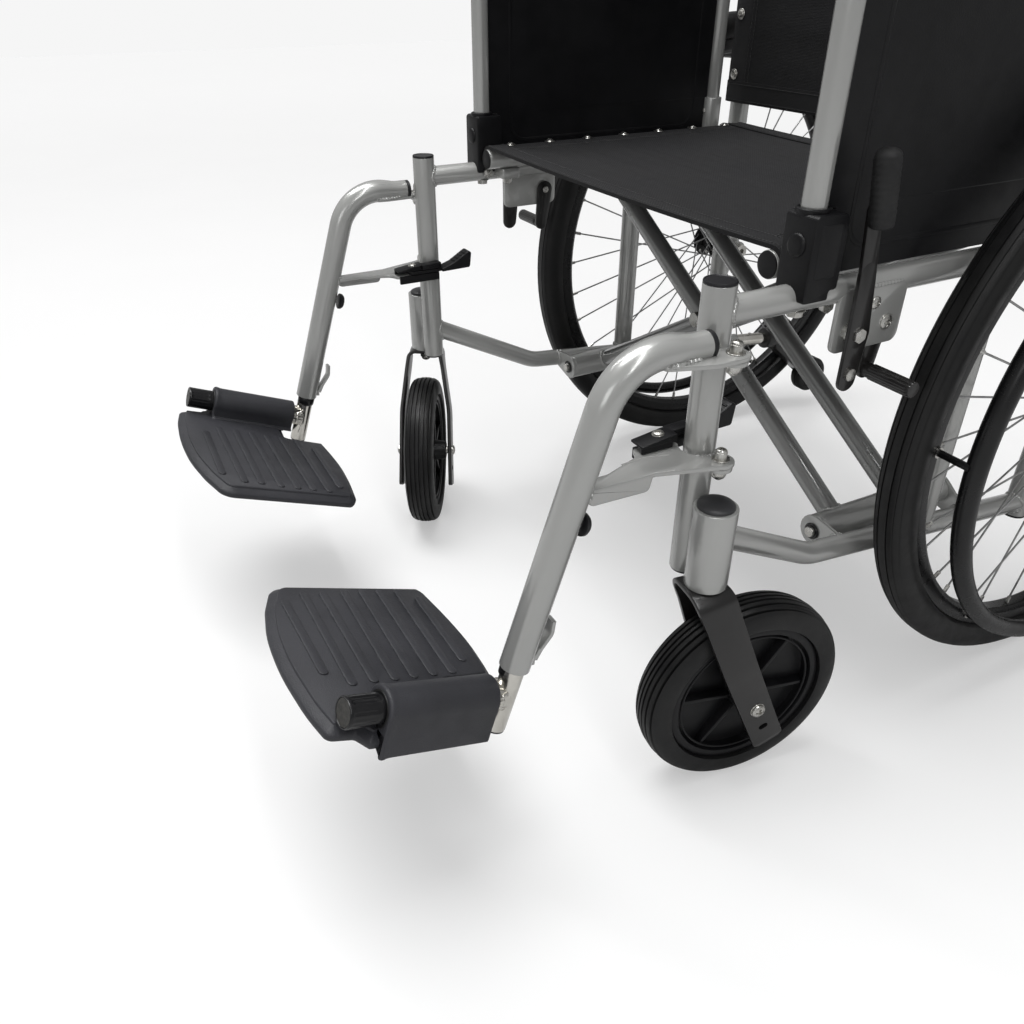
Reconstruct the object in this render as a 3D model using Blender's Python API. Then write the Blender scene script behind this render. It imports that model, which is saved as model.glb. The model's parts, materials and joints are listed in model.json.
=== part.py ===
# Folding heavy-duty wheelchair, metres, +Z up, front towards -Y, the sitter's left at +X.
# The left half is drawn, with y = 0 on the axis of the front posts, and the right half mirrors it.
# At the end the whole chair is moved so that its box stands centred on the origin.
import math

import bmesh
import bpy
from mathutils import Matrix, Vector

# Clearances
GAP = 0.0003  # between two pieces that touch
FIT = 0.0003  # round a pin in its hole
CUT_MARGIN = 0.1  # that a cutter runs past the piece

# Side frames
POST_X = 0.2727  # centre plane of a side frame
TOP_TUBE_Z = 0.4566
WHEEL_R = 0.309  # rear wheel, with its tyre
TYRE_FRONT_Y = 0.184  # the rear wheels stand this far behind the front posts
CASTER_R = 0.100
POST_R = 0.0127
POST_RISE = 0.0224
POST_TOP_Z = TOP_TUBE_Z + POST_RISE
TUBE_R = 0.0111
AXLE_BEHIND_CANE = 0.018
WHEEL_Y = TYRE_FRONT_Y + WHEEL_R
CANE_Y = WHEEL_Y - AXLE_BEHIND_CANE
CANE_BOTTOM_Z = 0.146
HANDLE_Z = 0.925
HANDLE_BEND_R = 0.055
HANDLE_LENGTH = 0.170
UPRIGHT_Y = 0.306
RAIL_OVER_CASTER = 0.0696
RAIL_FRONT_Z = 2 * CASTER_R + RAIL_OVER_CASTER
RAIL_BEND_Y = 0.150
RAIL_BEND_Z = 0.1945
RAIL_TAIL = 0.052
RAIL_END_Y = CANE_Y + RAIL_TAIL
RAIL_END_Z = 0.1545
RAIL_BEND_R = 0.060
CAP_RIM = 0.003
CAP_DOME = 0.002

# Folding braces
BRACE_R = 0.0111
PIVOT_INSET = 0.0338
PIVOT_X = POST_X - PIVOT_INSET  # lower brace pivots
PIVOT_Z = 0.1877
SEAT_RAIL_INSET = 0.0287
SEAT_RAIL_X = POST_X - SEAT_RAIL_INSET
SEAT_RAIL_LIFT = 0.01793
SEAT_RAIL_Z = TOP_TUBE_Z + SEAT_RAIL_LIFT
CROSS_Z = PIVOT_Z + (SEAT_RAIL_Z - PIVOT_Z) * PIVOT_X / (PIVOT_X + SEAT_RAIL_X)  # where the legs cross
BRACE_FRONT_Y = 0.225  # front leg of the first brace
BRACE_SPAN = 0.089  # from its front leg to its rear leg
BRACE_STAGGER = 0.0230  # from the first brace to the second
SLEEVE_R = 0.0159
SLEEVE_FRONT_Y = 0.196
SLEEVE_LENGTH = 0.176
PIVOT_ROD_R = 0.0055
LUG_THICKNESS = 0.004
LUG_R = 0.0165
CROSS_BOLT_R = 0.005
CROSS_HEAD_R = 0.009
CROSS_HEAD_THICKNESS = 0.006
SEAT_RAIL_FRONT_Y = 0.014
SEAT_RAIL_SHORT = 0.017
SEAT_RAIL_REAR_Y = CANE_Y - SEAT_RAIL_SHORT
CRADLE_LENGTH = 0.024
CRADLE_FRONT_Y = 0.034
CRADLE_BEHIND_LEG = 0.023
CRADLE_REAR_Y = BRACE_FRONT_Y + BRACE_SPAN + BRACE_STAGGER + CRADLE_BEHIND_LEG  # just behind the last leg

# Soft seat and back
SLING_THICKNESS = 0.003
SEAT_SLING_OVERHANG = 0.007
SEAT_SLING_HALF_WIDTH = SEAT_RAIL_X + SEAT_SLING_OVERHANG
BACK_SLING_OVERHANG = 0.0133
BACK_SLING_HALF_WIDTH = POST_X + BACK_SLING_OVERHANG
BACK_SLING_LIFT = 0.0554
BACK_SLING_BOTTOM_Z = TOP_TUBE_Z + BACK_SLING_LIFT
BACK_SLING_DROP = 0.063
BACK_SLING_TOP_Z = HANDLE_Z - BACK_SLING_DROP

# Heights of the hinge ears, and the casters under them
UPPER_EAR_DROP = 0.0256
UPPER_EAR_TOP_Z = TOP_TUBE_Z - UPPER_EAR_DROP
EAR_SPACING = 0.087
LOWER_EAR_TOP_Z = UPPER_EAR_TOP_Z - EAR_SPACING
BARREL_OFFSET = 0.0287  # outboard of the front post
BARREL_R = 0.0183
FORK_HEADROOM = 0.0322
BARREL_BOTTOM_Z = 2 * CASTER_R + FORK_HEADROOM  # also the foot of the front post
BARREL_BELOW_EAR = 0.0368
BARREL_TOP_Z = LOWER_EAR_TOP_Z - BARREL_BELOW_EAR
STEM_R = 0.0082
STEM_TOP_MARGIN = 0.007
CASTER_TYRE_HALF_WIDTH = 0.0190
CASTER_TYRE_DEPTH = 0.0235
CASTER_RIM_R = CASTER_R - CASTER_TYRE_DEPTH
CASTER_TRAIL = 0.051
HUB_BOSS_R = 0.0125
HUB_WEB = 0.0035  # half the thickness of the hub's disc
HUB_RIBS = 6
HUB_RIB = 0.0044
HUB_RIB_REACH = 0.0125  # to each side of the wheel's middle
FORK_HALF_WIDTH = 0.032
FORK_STRAP = 0.004
FORK_STRAP_WIDTH = 0.026
FORK_CROWN_DROP = 0.009
FORK_TOE_DROP = 0.030
FORK_TOE_Z = CASTER_R - FORK_TOE_DROP
CASTER_AXLE_R = 0.005
CASTER_BOLT_HEAD = 0.0055
LEFT_CASTER_TURN = -0.146  # radians from straight back, as they stand
RIGHT_CASTER_TURN = -2.083

# Rear wheels
WHEEL_OUTSET = 0.0401
WHEEL_X = POST_X + WHEEL_OUTSET
WHEEL_TYRE_HALF_WIDTH = 0.0178
WHEEL_TYRE_DEPTH = 0.032
WHEEL_RIM_R = WHEEL_R - WHEEL_TYRE_DEPTH
RIM_HALF_WIDTH = 0.0105
RIM_DEPTH = 0.0175
HUB_HALF_LENGTH = 0.025
HUB_FLANGE_R = 0.024
HUB_FLANGE_X = 0.018
HUB_BARREL_R = 0.013
SPOKES = 36
SPOKE_R = 0.0012
SPOKE_OFFSET = 0.0014  # of leading and trailing spokes to each side, so that they pass clear
SPOKE_LEAD = 66.0  # degrees that a spoke runs ahead of or behind its flange hole
AXLE_R = 0.0061
AXLE_SLEEVE_R = 0.0125
AXLE_SLEEVE_INSET = 0.0177
AXLE_SLEEVE_INNER_X = POST_X - AXLE_SLEEVE_INSET
AXLE_NUT_R = 0.011
AXLE_NUT = 0.008
HANDRIM_OUTSET = 0.0452
HANDRIM_X = WHEEL_X + HANDRIM_OUTSET
HANDRIM_INSET = 0.018
HANDRIM_MAJOR_R = WHEEL_RIM_R - HANDRIM_INSET
HANDRIM_R = 0.0095
HANDRIM_POST_R = 0.0035
HANDRIM_POSTS = 6

# Hinges of the swing-away hangers
HINGE_OUTSET = 0.0258
HINGE_X = POST_X + HINGE_OUTSET
EAR_THICKNESS = 0.004
EAR_R = 0.0100
HINGE_PIN_R = 0.0040
HINGE_HEAD_R = 0.0065
HINGE_NUT = 0.006
HINGE_HEAD = 0.0095

# Hangers, latches and footplates
HANGER_OUTSET = 0.0153
HANGER_X = POST_X + HANGER_OUTSET
HANGER_R = 0.0127
HANGER_FOOT_Y = -0.1741
HANGER_FOOT_Z = 0.2015
HANGER_SLOPE = 71.5  # degrees above the horizontal
HANGER_LIFT = 0.012
HANGER_TOP_Z = UPPER_EAR_TOP_Z + HANGER_LIFT
HANGER_BEND_R = 0.060
HANGER_END_Y = -0.0140
LATCH_INSET = 0.0164
LATCH_X = POST_X - LATCH_INSET
LATCH_Y = -0.0293
LATCH_PLATE_EDGE = 0.0038
LATCH_PLATE_INNER_X = LATCH_X - LATCH_PLATE_EDGE
LATCH_LEVER_THICKNESS = 0.004
LATCH_LEVER_REACH = 0.069
LATCH_PIN_R = 0.003
LATCH_COVER = 0.007
EXTENSION_R = 0.0095
EXTENSION_HIDDEN = 0.110
EXTENSION_SHOWN = 0.0595
HEEL_FRONT_OFFSET = (0.0099, -0.1414, 0.0252)  # ends of the heel tube, from the hanger's foot
HEEL_REAR_OFFSET = (-0.0009, -0.0159, -0.0233)
HEEL_R = 0.0122
HEEL_OVERLAP = 0.006  # past the axis of the extension tube
HOUSING_R = 0.0170
HOUSING_START = 0.032  # behind the front end of the heel tube
HOUSING_END = 0.1275
SKIRT_THICKNESS = 0.004
SKIRT_DROP = 0.028
PLATE_TOP = -0.0145  # below the heel tube's axis
PLATE_THICKNESS = 0.013
PLATE_BEVEL = 0.004
PLATE_OUTLINE = (  # across and along, from the front end of the heel tube
    (-0.013, 0.118), (-0.013, -0.004), (0.010, -0.019), (0.060, -0.024), (0.118, -0.021),
    (0.172, -0.004), (0.194, 0.035), (0.196, 0.098), (0.186, 0.138), (0.152, 0.157),
    (0.040, 0.156), (0.040, 0.118),
)

# Armrests and skirt guards
ARM_R = 0.0095
ARM_FRONT_Y = 0.078
ARM_BEFORE_CANE = 0.050
ARM_REAR_Y = CANE_Y - ARM_BEFORE_CANE
ARM_RISE = 0.2434
ARM_TOP_Z = TOP_TUBE_Z + ARM_RISE
ARM_BEND_R = 0.040
ARM_FOOT_LIFT = 0.0144
ARM_FOOT_Z = TOP_TUBE_Z + ARM_FOOT_LIFT
ARM_SOCKET_R = 0.0127
ARM_SOCKET_RISE = 0.0634
ARM_SOCKET_TOP_Z = TOP_TUBE_Z + ARM_SOCKET_RISE
ARM_BLOCK_HALF_WIDTH = 0.0135
ARM_BLOCK_OUTSET = 0.0178
ARM_BLOCK_OUTER_X = POST_X + ARM_BLOCK_OUTSET
ARM_BLOCK_LENGTH = 0.040
ARM_BLOCK_DROP = 0.0091
ARM_BLOCK_BOTTOM_Z = TOP_TUBE_Z - ARM_BLOCK_DROP
PAD_HALF_WIDTH = 0.027
PAD_THICKNESS = 0.028
PAD_FRONT_OVERHANG = 0.020
PAD_FRONT_Y = ARM_FRONT_Y - PAD_FRONT_OVERHANG
PAD_REAR_OVERHANG = 0.015
PAD_REAR_Y = ARM_REAR_Y + PAD_REAR_OVERHANG
PANEL_THICKNESS = 0.003
PANEL_LIFT = 0.0139
PANEL_BOTTOM_Z = TOP_TUBE_Z + PANEL_LIFT

# Wheel locks
LOCK_PLATE_THICKNESS = 0.004
LOCK_PLATE_FRONT_Y = 0.099
LOCK_PLATE_REAR_Y = 0.186
LOCK_PLATE_DROP = 0.0501
LOCK_PLATE_BOTTOM_Z = TOP_TUBE_Z - LOCK_PLATE_DROP
LOCK_PIN_R = 0.004
LOCK_STRAP = 0.004
LOCK_LEVER_OUTSET = 0.0184
LOCK_LEVER_X = POST_X + LOCK_LEVER_OUTSET
LEVER_PIVOT_Y = 0.128
LEVER_PIVOT_DROP = 0.0326
LEVER_PIVOT_Z = TOP_TUBE_Z - LEVER_PIVOT_DROP
LEVER_LOBE_DROP = 0.038
LEVER_HANDLE_RISE = 0.1084
LEVER_HANDLE_Z = TOP_TUBE_Z + LEVER_HANDLE_RISE
LEVER_GRIP_R = 0.0095
LEVER_GRIP_LENGTH = 0.055
LEVER_GRIP_INSET = 0.0005
SHOE_PIVOT_Y = 0.1693
SHOE_PIVOT_DROP = 0.0316
SHOE_PIVOT_Z = TOP_TUBE_Z - SHOE_PIVOT_DROP
SHOE_DROP = 0.042
SHOE_LEAN = 0.005
SHOE_R = 0.0070
SHOE_OUTSET = 0.0162
SHOE_OUTER_X = WHEEL_X + SHOE_OUTSET

# Anti-tippers
TIPPER_R = 0.0095
TIPPER_INSERT = 0.070
TIPPER_TUBE = 0.080
TIPPER_WHEEL_R = 0.030
TIPPER_WHEEL_HALF_WIDTH = 0.011
TIPPER_REACH = 0.181
TIPPER_WHEEL_Y = RAIL_END_Y + TIPPER_REACH
TIPPER_WHEEL_Z = 0.062
TIPPER_AXLE_R = 0.004
TIPPER_CHEEK = 0.004
TIPPER_BLOCK_R = 0.0165

# Push grips
GRIP_R = 0.0170
GRIP_LENGTH = 0.108
GRIP_END = 0.004

# How finely round shapes are drawn
TUBE_SIDES = 12
PIN_SIDES = 12
BEND_STEPS = 5
WHEEL_SEGMENTS = 40
CASTER_SEGMENTS = 28
SMOOTH_ANGLE = 35.0
WELD = 0.00001  # points closer than this are one

X_AXIS = Vector((1, 0, 0))
Y_AXIS = Vector((0, 1, 0))
Z_AXIS = Vector((0, 0, 1))

# Colour, roughness and metallic value of each finish
FINISHES = {
    "silver_paint": ((0.42, 0.43, 0.43), 0.38, 0.35),
    "black_paint": ((0.020, 0.020, 0.022), 0.42, 0.2),
    "black_plastic": ((0.025, 0.025, 0.027), 0.55, 0.0),
    "moulded_grey": ((0.060, 0.063, 0.068), 0.60, 0.0),
    "zinc": ((0.62, 0.62, 0.60), 0.32, 1.0),
    "chrome": ((0.80, 0.80, 0.80), 0.12, 1.0),
    "rubber": ((0.018, 0.018, 0.018), 0.78, 0.0),
    "upholstery": ((0.022, 0.022, 0.024), 0.70, 0.0),
}


# Shapes. Each function gives a mesh of one closed solid, in the chair's own axes


def solid_from(bm):
    """The finished mesh of a closed shape, with its faces turned outward."""
    bmesh.ops.remove_doubles(bm, verts=bm.verts, dist=WELD)
    bmesh.ops.recalc_face_normals(bm, faces=bm.faces)
    mesh = bpy.data.meshes.new("shape")
    bm.to_mesh(mesh)
    bm.free()
    return mesh


def bar(ends, radius, sides=TUBE_SIDES):
    """A straight round bar between two points."""
    start, end = (Vector(p) for p in ends)
    along = end - start
    turn = along.to_track_quat("Z", "Y").to_matrix().to_4x4()
    bm = bmesh.new()
    bmesh.ops.create_cone(
        bm, cap_ends=True, segments=sides, radius1=radius, radius2=radius,
        depth=along.length, matrix=Matrix.Translation((start + end) / 2) @ turn,
    )
    return solid_from(bm)


def hole(start, end, radius, sides=TUBE_SIDES):
    """A cutter for a round hole, whose flats lie at the stated radius."""
    return bar((start, end), radius / math.cos(math.pi / sides), sides)


def tube(path, radius, sides=TUBE_SIDES):
    """A round bar bent along a path of points, as a curve with a round bevel and filled ends."""
    curve = bpy.data.curves.new("bent_tube", "CURVE")
    curve.dimensions = "3D"
    curve.bevel_depth = radius
    curve.bevel_resolution = sides // 2 - 2
    curve.use_fill_caps = True
    spline = curve.splines.new("POLY")
    spline.points.add(len(path) - 1)
    for knot, place in zip(spline.points, path):
        knot.co = (*place, 1.0)
    holder = bpy.data.objects.new("bent_tube", curve)
    bpy.context.collection.objects.link(holder)
    bpy.context.view_layer.update()
    ready = holder.evaluated_get(bpy.context.evaluated_depsgraph_get())
    bm = bmesh.new()
    bm.from_mesh(bpy.data.meshes.new_from_object(ready))
    bpy.data.objects.remove(holder)
    return solid_from(bm)


def turned(profile, centre, axis, segments, closed=False):
    """A profile of (along, radius) points spun about an axis, with a flat that faces straight down.
    A closed profile makes a ring, and an open one ends on flat discs."""
    axis = Vector(axis).normalized()
    centre = Vector(centre)
    down = -Z_AXIS if abs(axis.z) < 0.9 else Y_AXIS
    half_step = Matrix.Rotation(math.pi / segments, 3, axis)
    out = half_step @ (down - axis * down.dot(axis)).normalized()
    corner = 1.0 / math.cos(math.pi / segments)
    points = [centre + along * axis + radius * corner * out for along, radius in profile]
    if not closed:
        points = [centre + profile[0][0] * axis, *points, centre + profile[-1][0] * axis]
    bm = bmesh.new()
    verts = [bm.verts.new(p) for p in points]
    edges = [bm.edges.new(pair) for pair in zip(verts, verts[1:])]
    if closed:
        edges.append(bm.edges.new((verts[-1], verts[0])))
    bmesh.ops.spin(
        bm, geom=verts + edges, cent=centre, axis=axis, dvec=(0, 0, 0),
        angle=math.tau, steps=segments, use_merge=True,
    )
    return solid_from(bm)


def raised(bm, outline, low, high, frame, lift):
    """Extrudes a flat outline from low to high along the frame's own third axis."""
    base = bm.faces.new([bm.verts.new(frame @ Vector((*point, low))) for point in outline])
    grown = bmesh.ops.extrude_face_region(bm, geom=[base])["geom"]
    moved = [item for item in grown if isinstance(item, bmesh.types.BMVert)]
    bmesh.ops.translate(bm, verts=moved, vec=lift * (high - low))
    bmesh.ops.recalc_face_normals(bm, faces=bm.faces)
    return [item for item in grown if isinstance(item, bmesh.types.BMFace)]


def prism(outline, plane, low, high):
    """A flat outline in the plane xy, xz or yz, made solid from low to high across it."""
    columns = {
        "xy": (X_AXIS, Y_AXIS, Z_AXIS),
        "xz": (X_AXIS, Z_AXIS, Y_AXIS),
        "yz": (Y_AXIS, Z_AXIS, X_AXIS),
    }[plane]
    frame = Matrix(columns).transposed().to_4x4()
    bm = bmesh.new()
    raised(bm, outline, low, high, frame, columns[2])
    return solid_from(bm)


def bevelled_plate(outline, low, high, bevel, frame):
    """A plate in a frame of its own, with the rim of its upper face bevelled."""
    bm = bmesh.new()
    upper = raised(bm, outline, low, high - bevel, frame, frame.col[2].to_3d())
    bmesh.ops.inset_region(bm, faces=upper, thickness=bevel, depth=bevel, use_even_offset=True)
    return solid_from(bm)


def block(low, high, frame=Matrix()):
    """A box between two corners, in the chair's axes or in a frame of its own."""
    low = Vector(low)
    high = Vector(high)
    size = Matrix.Diagonal((*(high - low), 1.0))
    bm = bmesh.new()
    bmesh.ops.create_cube(bm, size=1.0, matrix=frame @ Matrix.Translation((low + high) / 2) @ size)
    return solid_from(bm)


def link(first, first_r, second, second_r, steps=6):
    """Outline of a strap with round ends, as the hull of two circles."""
    dx = second[0] - first[0]
    dy = second[1] - first[1]
    heading = math.atan2(dy, dx)
    lean = math.acos((first_r - second_r) / math.hypot(dx, dy))
    points = []
    for k in range(steps + 1):
        turn = heading + lean + (math.tau - 2 * lean) * k / steps
        points.append((first[0] + first_r * math.cos(turn), first[1] + first_r * math.sin(turn)))
    for k in range(steps + 1):
        turn = heading - lean + 2 * lean * k / steps
        points.append((second[0] + second_r * math.cos(turn), second[1] + second_r * math.sin(turn)))
    return points


def rounded(corners, radius, steps=BEND_STEPS):
    """A path whose inner corners are arcs of the given radius."""
    points = [Vector(c) for c in corners]
    path = [points[0]]
    for before, corner, after in zip(points, points[1:], points[2:]):
        back = (before - corner).normalized()
        ahead = (after - corner).normalized()
        half = back.angle(ahead) / 2
        reach = radius / math.tan(half)
        centre = corner + (back + ahead).normalized() * (radius / math.sin(half))
        start = corner + back * reach - centre
        end = corner + ahead * reach - centre
        sweep = start.angle(end)
        for k in range(steps + 1):
            share = k / steps
            arm = math.sin((1 - share) * sweep) * start + math.sin(share * sweep) * end
            path.append(centre + arm / math.sin(sweep))
    path.append(points[-1])
    return path


def rounded_outline(corners, radius, steps=3):
    """A closed flat outline whose corners are all rounded."""
    count = len(corners)
    outline = []
    for i in range(count):
        before = Vector(corners[i - 1]).to_3d()
        corner = Vector(corners[i]).to_3d()
        after = Vector(corners[(i + 1) % count]).to_3d()
        arc = rounded((before, corner, after), radius, steps)[1:-1]
        outline.extend((p.x, p.y) for p in arc)
    return outline


# Building the scene

bodies = {}
nodes = []


def clear_scene():
    for item in list(bpy.data.objects):
        bpy.data.objects.remove(item)


def finish(name):
    material = bpy.data.materials.get(name)
    if material is None:
        colour, roughness, metallic = FINISHES[name]
        material = bpy.data.materials.new(name)
        material.use_nodes = True
        shader = material.node_tree.nodes["Principled BSDF"]
        shader.inputs["Base Color"].default_value = (*colour, 1.0)
        shader.inputs["Roughness"].default_value = roughness
        shader.inputs["Metallic"].default_value = metallic
    return material


def add_body(name, parent, at, turn=0.0):
    """An empty on a joint's axis, which carries the pieces that move together."""
    empty = bpy.data.objects.new("body_" + name, None)
    bpy.context.collection.objects.link(empty)
    at = Vector(at)
    empty.location = at
    if parent:
        carrier, carrier_at = bodies[parent]
        empty.parent = carrier
        empty.location = at - carrier_at
    empty.rotation_euler.z = turn
    bodies[name] = (empty, at)


def add_node(name, body, material, solids, cuts=(), side=1):
    """One named piece: its solids welded into one, less its cuts, on the body that carries it."""
    carrier, carrier_at = bodies[body]
    piece = bpy.data.objects.new(name, solids[0])
    bpy.context.collection.objects.link(piece)
    shapes = [(s, "UNION") for s in solids[1:]] + [(c, "DIFFERENCE") for c in cuts]
    tools = []
    for number, (mesh, operation) in enumerate(shapes):
        tool = bpy.data.objects.new(f"{name}_tool_{number}", mesh)
        bpy.context.collection.objects.link(tool)
        step = piece.modifiers.new(tool.name, "BOOLEAN")
        step.operation = operation
        step.solver = "EXACT"
        step.object = tool
        tools.append(tool)
    if tools:
        bpy.context.view_layer.update()
        ready = piece.evaluated_get(bpy.context.evaluated_depsgraph_get())
        welded = bpy.data.meshes.new_from_object(ready)
        piece.modifiers.clear()
        piece.data = welded
    for tool in tools:
        bpy.data.objects.remove(tool)
    mesh = piece.data
    mesh.name = name
    if side < 0:
        mesh.transform(Matrix.Diagonal((-1.0, 1.0, 1.0, 1.0)))
        mesh.flip_normals()
    mesh.transform(Matrix.Translation(-carrier_at))
    mesh.shade_smooth()
    mesh.set_sharp_from_angle(angle=math.radians(SMOOTH_ANGLE))
    mesh.materials.clear()
    mesh.materials.append(finish(material))
    piece.parent = carrier
    nodes.append(piece)
    return piece


# Places that several pieces share

BARREL_X = POST_X + BARREL_OFFSET
CASTER_Z = CASTER_R
SLEEVE_END_Y = SLEEVE_FRONT_Y + SLEEVE_LENGTH
RAIL_SLOPE = Vector((0, RAIL_END_Y - RAIL_BEND_Y, RAIL_END_Z - RAIL_BEND_Z)).normalized()
HANGER_DOWN = Vector(
    (0, -math.cos(math.radians(HANGER_SLOPE)), -math.sin(math.radians(HANGER_SLOPE)))
)
HANGER_FOOT = Vector((HANGER_X, HANGER_FOOT_Y, HANGER_FOOT_Z))
HEEL_FRONT = HANGER_FOOT + Vector(HEEL_FRONT_OFFSET)
HEEL_REAR = HANGER_FOOT + Vector(HEEL_REAR_OFFSET)
LOWER_PLATE_Z = LOWER_EAR_TOP_Z + GAP
UPPER_PLATE_Z = UPPER_EAR_TOP_Z + GAP
PIN_HOLE_R = HINGE_PIN_R + FIT
FORK_INNER_X = FORK_HALF_WIDTH - FORK_STRAP
FORK_CROWN_Z = BARREL_BOTTOM_Z - GAP
HUB_OUTER_X = WHEEL_X + HUB_HALF_LENGTH
LOCK_PLATE_X = POST_X + TUBE_R - LOCK_PLATE_THICKNESS
BACK_SLING_Y = CANE_Y - POST_R - GAP - SLING_THICKNESS
SEAT_SLING_Z = SEAT_RAIL_Z + BRACE_R + GAP
PAD_BOTTOM_Z = ARM_TOP_Z + ARM_R + GAP
HEEL_ALONG = (HEEL_REAR - HEEL_FRONT).normalized()
HEEL_ACROSS = Z_AXIS.cross(HEEL_ALONG).normalized()
HEEL_NORMAL = HEEL_ALONG.cross(HEEL_ACROSS)
HEEL_FRAME = Matrix.Translation(HEEL_FRONT) @ (
    Matrix((HEEL_ACROSS, HEEL_ALONG, HEEL_NORMAL)).transposed().to_4x4()
)


def rail_z(y):
    """Height of the bottom rail's axis behind its bend."""
    return RAIL_BEND_Z + (y - RAIL_BEND_Y) * RAIL_SLOPE.z / RAIL_SLOPE.y


def heel_point(across, along, up):
    """A point in the footplate's own frame, from the front end of its heel tube."""
    return HEEL_FRAME @ Vector((across, along, up))


def extension_point(down):
    """A point on the hanger's straight axis, below its lower end."""
    return HANGER_FOOT + down * HANGER_DOWN


def bolt(start, along, shank_r, length, head_r, head, nut, sides=PIN_SIDES):
    """A headed bolt with its nut: start is the head's seat, and length is the grip."""
    start = Vector(start)
    along = Vector(along).normalized()
    end = start + along * length
    shank = bar((start - along * (head / 2), end + along * (nut / 2)), shank_r, sides)
    cap = bar((start - along * head, start - along * GAP), head_r, 6)
    nut_body = bar((end + along * GAP, end + along * nut), head_r, 6)
    return [shank, cap, nut_body]


# Side frame


def side_frame(side, tag):
    handle_end = CANE_Y + HANDLE_LENGTH
    cane = rounded(
        ((POST_X, CANE_Y, CANE_BOTTOM_Z), (POST_X, CANE_Y, HANDLE_Z), (POST_X, handle_end, HANDLE_Z)),
        HANDLE_BEND_R,
    )
    rail = rounded(
        (
            (POST_X, 0, RAIL_FRONT_Z),
            (POST_X, RAIL_BEND_Y, RAIL_BEND_Z),
            (POST_X, RAIL_END_Y, RAIL_END_Z),
        ),
        RAIL_BEND_R,
    )
    barrel = bar(((BARREL_X, 0, BARREL_BOTTOM_Z), (BARREL_X, 0, BARREL_TOP_Z)), BARREL_R, 18)
    axle_sleeve = bar(
        ((AXLE_SLEEVE_INNER_X, WHEEL_Y, WHEEL_R), (WHEEL_X - HUB_HALF_LENGTH - GAP, WHEEL_Y, WHEEL_R)),
        AXLE_SLEEVE_R,
    )
    web = link((CANE_Y, WHEEL_R + 0.050), POST_R * 0.8, (WHEEL_Y, WHEEL_R), AXLE_SLEEVE_R)
    web_low = link((CANE_Y, WHEEL_R - 0.050), POST_R * 0.8, (WHEEL_Y, WHEEL_R), AXLE_SLEEVE_R)
    half_web = 0.004
    socket = bar(
        ((POST_X, ARM_REAR_Y, TOP_TUBE_Z), (POST_X, ARM_REAR_Y, ARM_SOCKET_TOP_Z)), ARM_SOCKET_R
    )
    solids = [
        bar(((POST_X, 0, BARREL_BOTTOM_Z), (POST_X, 0, POST_TOP_Z)), POST_R),
        barrel,
        bar(((POST_X, 0, TOP_TUBE_Z), (POST_X, CANE_Y, TOP_TUBE_Z)), TUBE_R),
        tube(cane, POST_R),
        tube(rail, TUBE_R),
        bar(((POST_X, UPRIGHT_Y, rail_z(UPRIGHT_Y)), (POST_X, UPRIGHT_Y, TOP_TUBE_Z)), POST_R),
        axle_sleeve,
        prism(web, "yz", POST_X - half_web, POST_X + half_web),
        prism(web_low, "yz", POST_X - half_web, POST_X + half_web),
        socket,
    ]
    for top in (LOWER_EAR_TOP_Z, UPPER_EAR_TOP_Z):
        ear = link((POST_X, 0), POST_R * 0.85, (HINGE_X, 0), EAR_R)
        solids.append(prism(ear, "xy", top - EAR_THICKNESS, top))
    for front in (SLEEVE_FRONT_Y - GAP - LUG_THICKNESS, SLEEVE_END_Y + GAP):
        lug = link((POST_X, rail_z(front)), TUBE_R * 0.9, (PIVOT_X, PIVOT_Z), LUG_R)
        solids.append(prism(lug, "xz", front, front + LUG_THICKNESS))
    rod_front = SLEEVE_FRONT_Y - LUG_THICKNESS - CROSS_HEAD_THICKNESS
    rod_rear = SLEEVE_END_Y + LUG_THICKNESS + CROSS_HEAD_THICKNESS
    solids.append(
        bar(((PIVOT_X, rod_front, PIVOT_Z), (PIVOT_X, rod_rear, PIVOT_Z)), PIVOT_ROD_R, PIN_SIDES)
    )
    for middle in (CRADLE_FRONT_Y, CRADLE_REAR_Y):
        solids.append(
            block(
                (SEAT_RAIL_X - BRACE_R * 0.6, middle - CRADLE_LENGTH / 2, TOP_TUBE_Z - TUBE_R * 0.5),
                (POST_X, middle + CRADLE_LENGTH / 2, SEAT_RAIL_Z - BRACE_R - GAP),
            )
        )
    solids.extend(lock_plate())
    cuts = [
        hole((BARREL_X, 0, BARREL_BOTTOM_Z - 0.01), (BARREL_X, 0, BARREL_TOP_Z + 0.01), STEM_R + FIT),
        hole((POST_X - CUT_MARGIN, WHEEL_Y, WHEEL_R), (WHEEL_X + CUT_MARGIN, WHEEL_Y, WHEEL_R), AXLE_R + FIT),
        hole(
            (POST_X, ARM_REAR_Y, ARM_FOOT_Z - GAP), (POST_X, ARM_REAR_Y, ARM_TOP_Z), ARM_R + FIT
        ),
    ]
    for top in (LOWER_EAR_TOP_Z, UPPER_EAR_TOP_Z):
        cuts.append(
            hole((HINGE_X, 0, top - 0.010), (HINGE_X, 0, top + 0.005), PIN_HOLE_R, PIN_SIDES)
        )
    rail_end = Vector((POST_X, RAIL_END_Y, RAIL_END_Z))
    cuts.append(
        hole(rail_end - RAIL_SLOPE * (TIPPER_INSERT + GAP), rail_end + RAIL_SLOPE * 0.02, TIPPER_R + FIT)
    )
    add_node("side_frame_" + tag, tag + "_frame", "silver_paint", solids, cuts, side)


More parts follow.
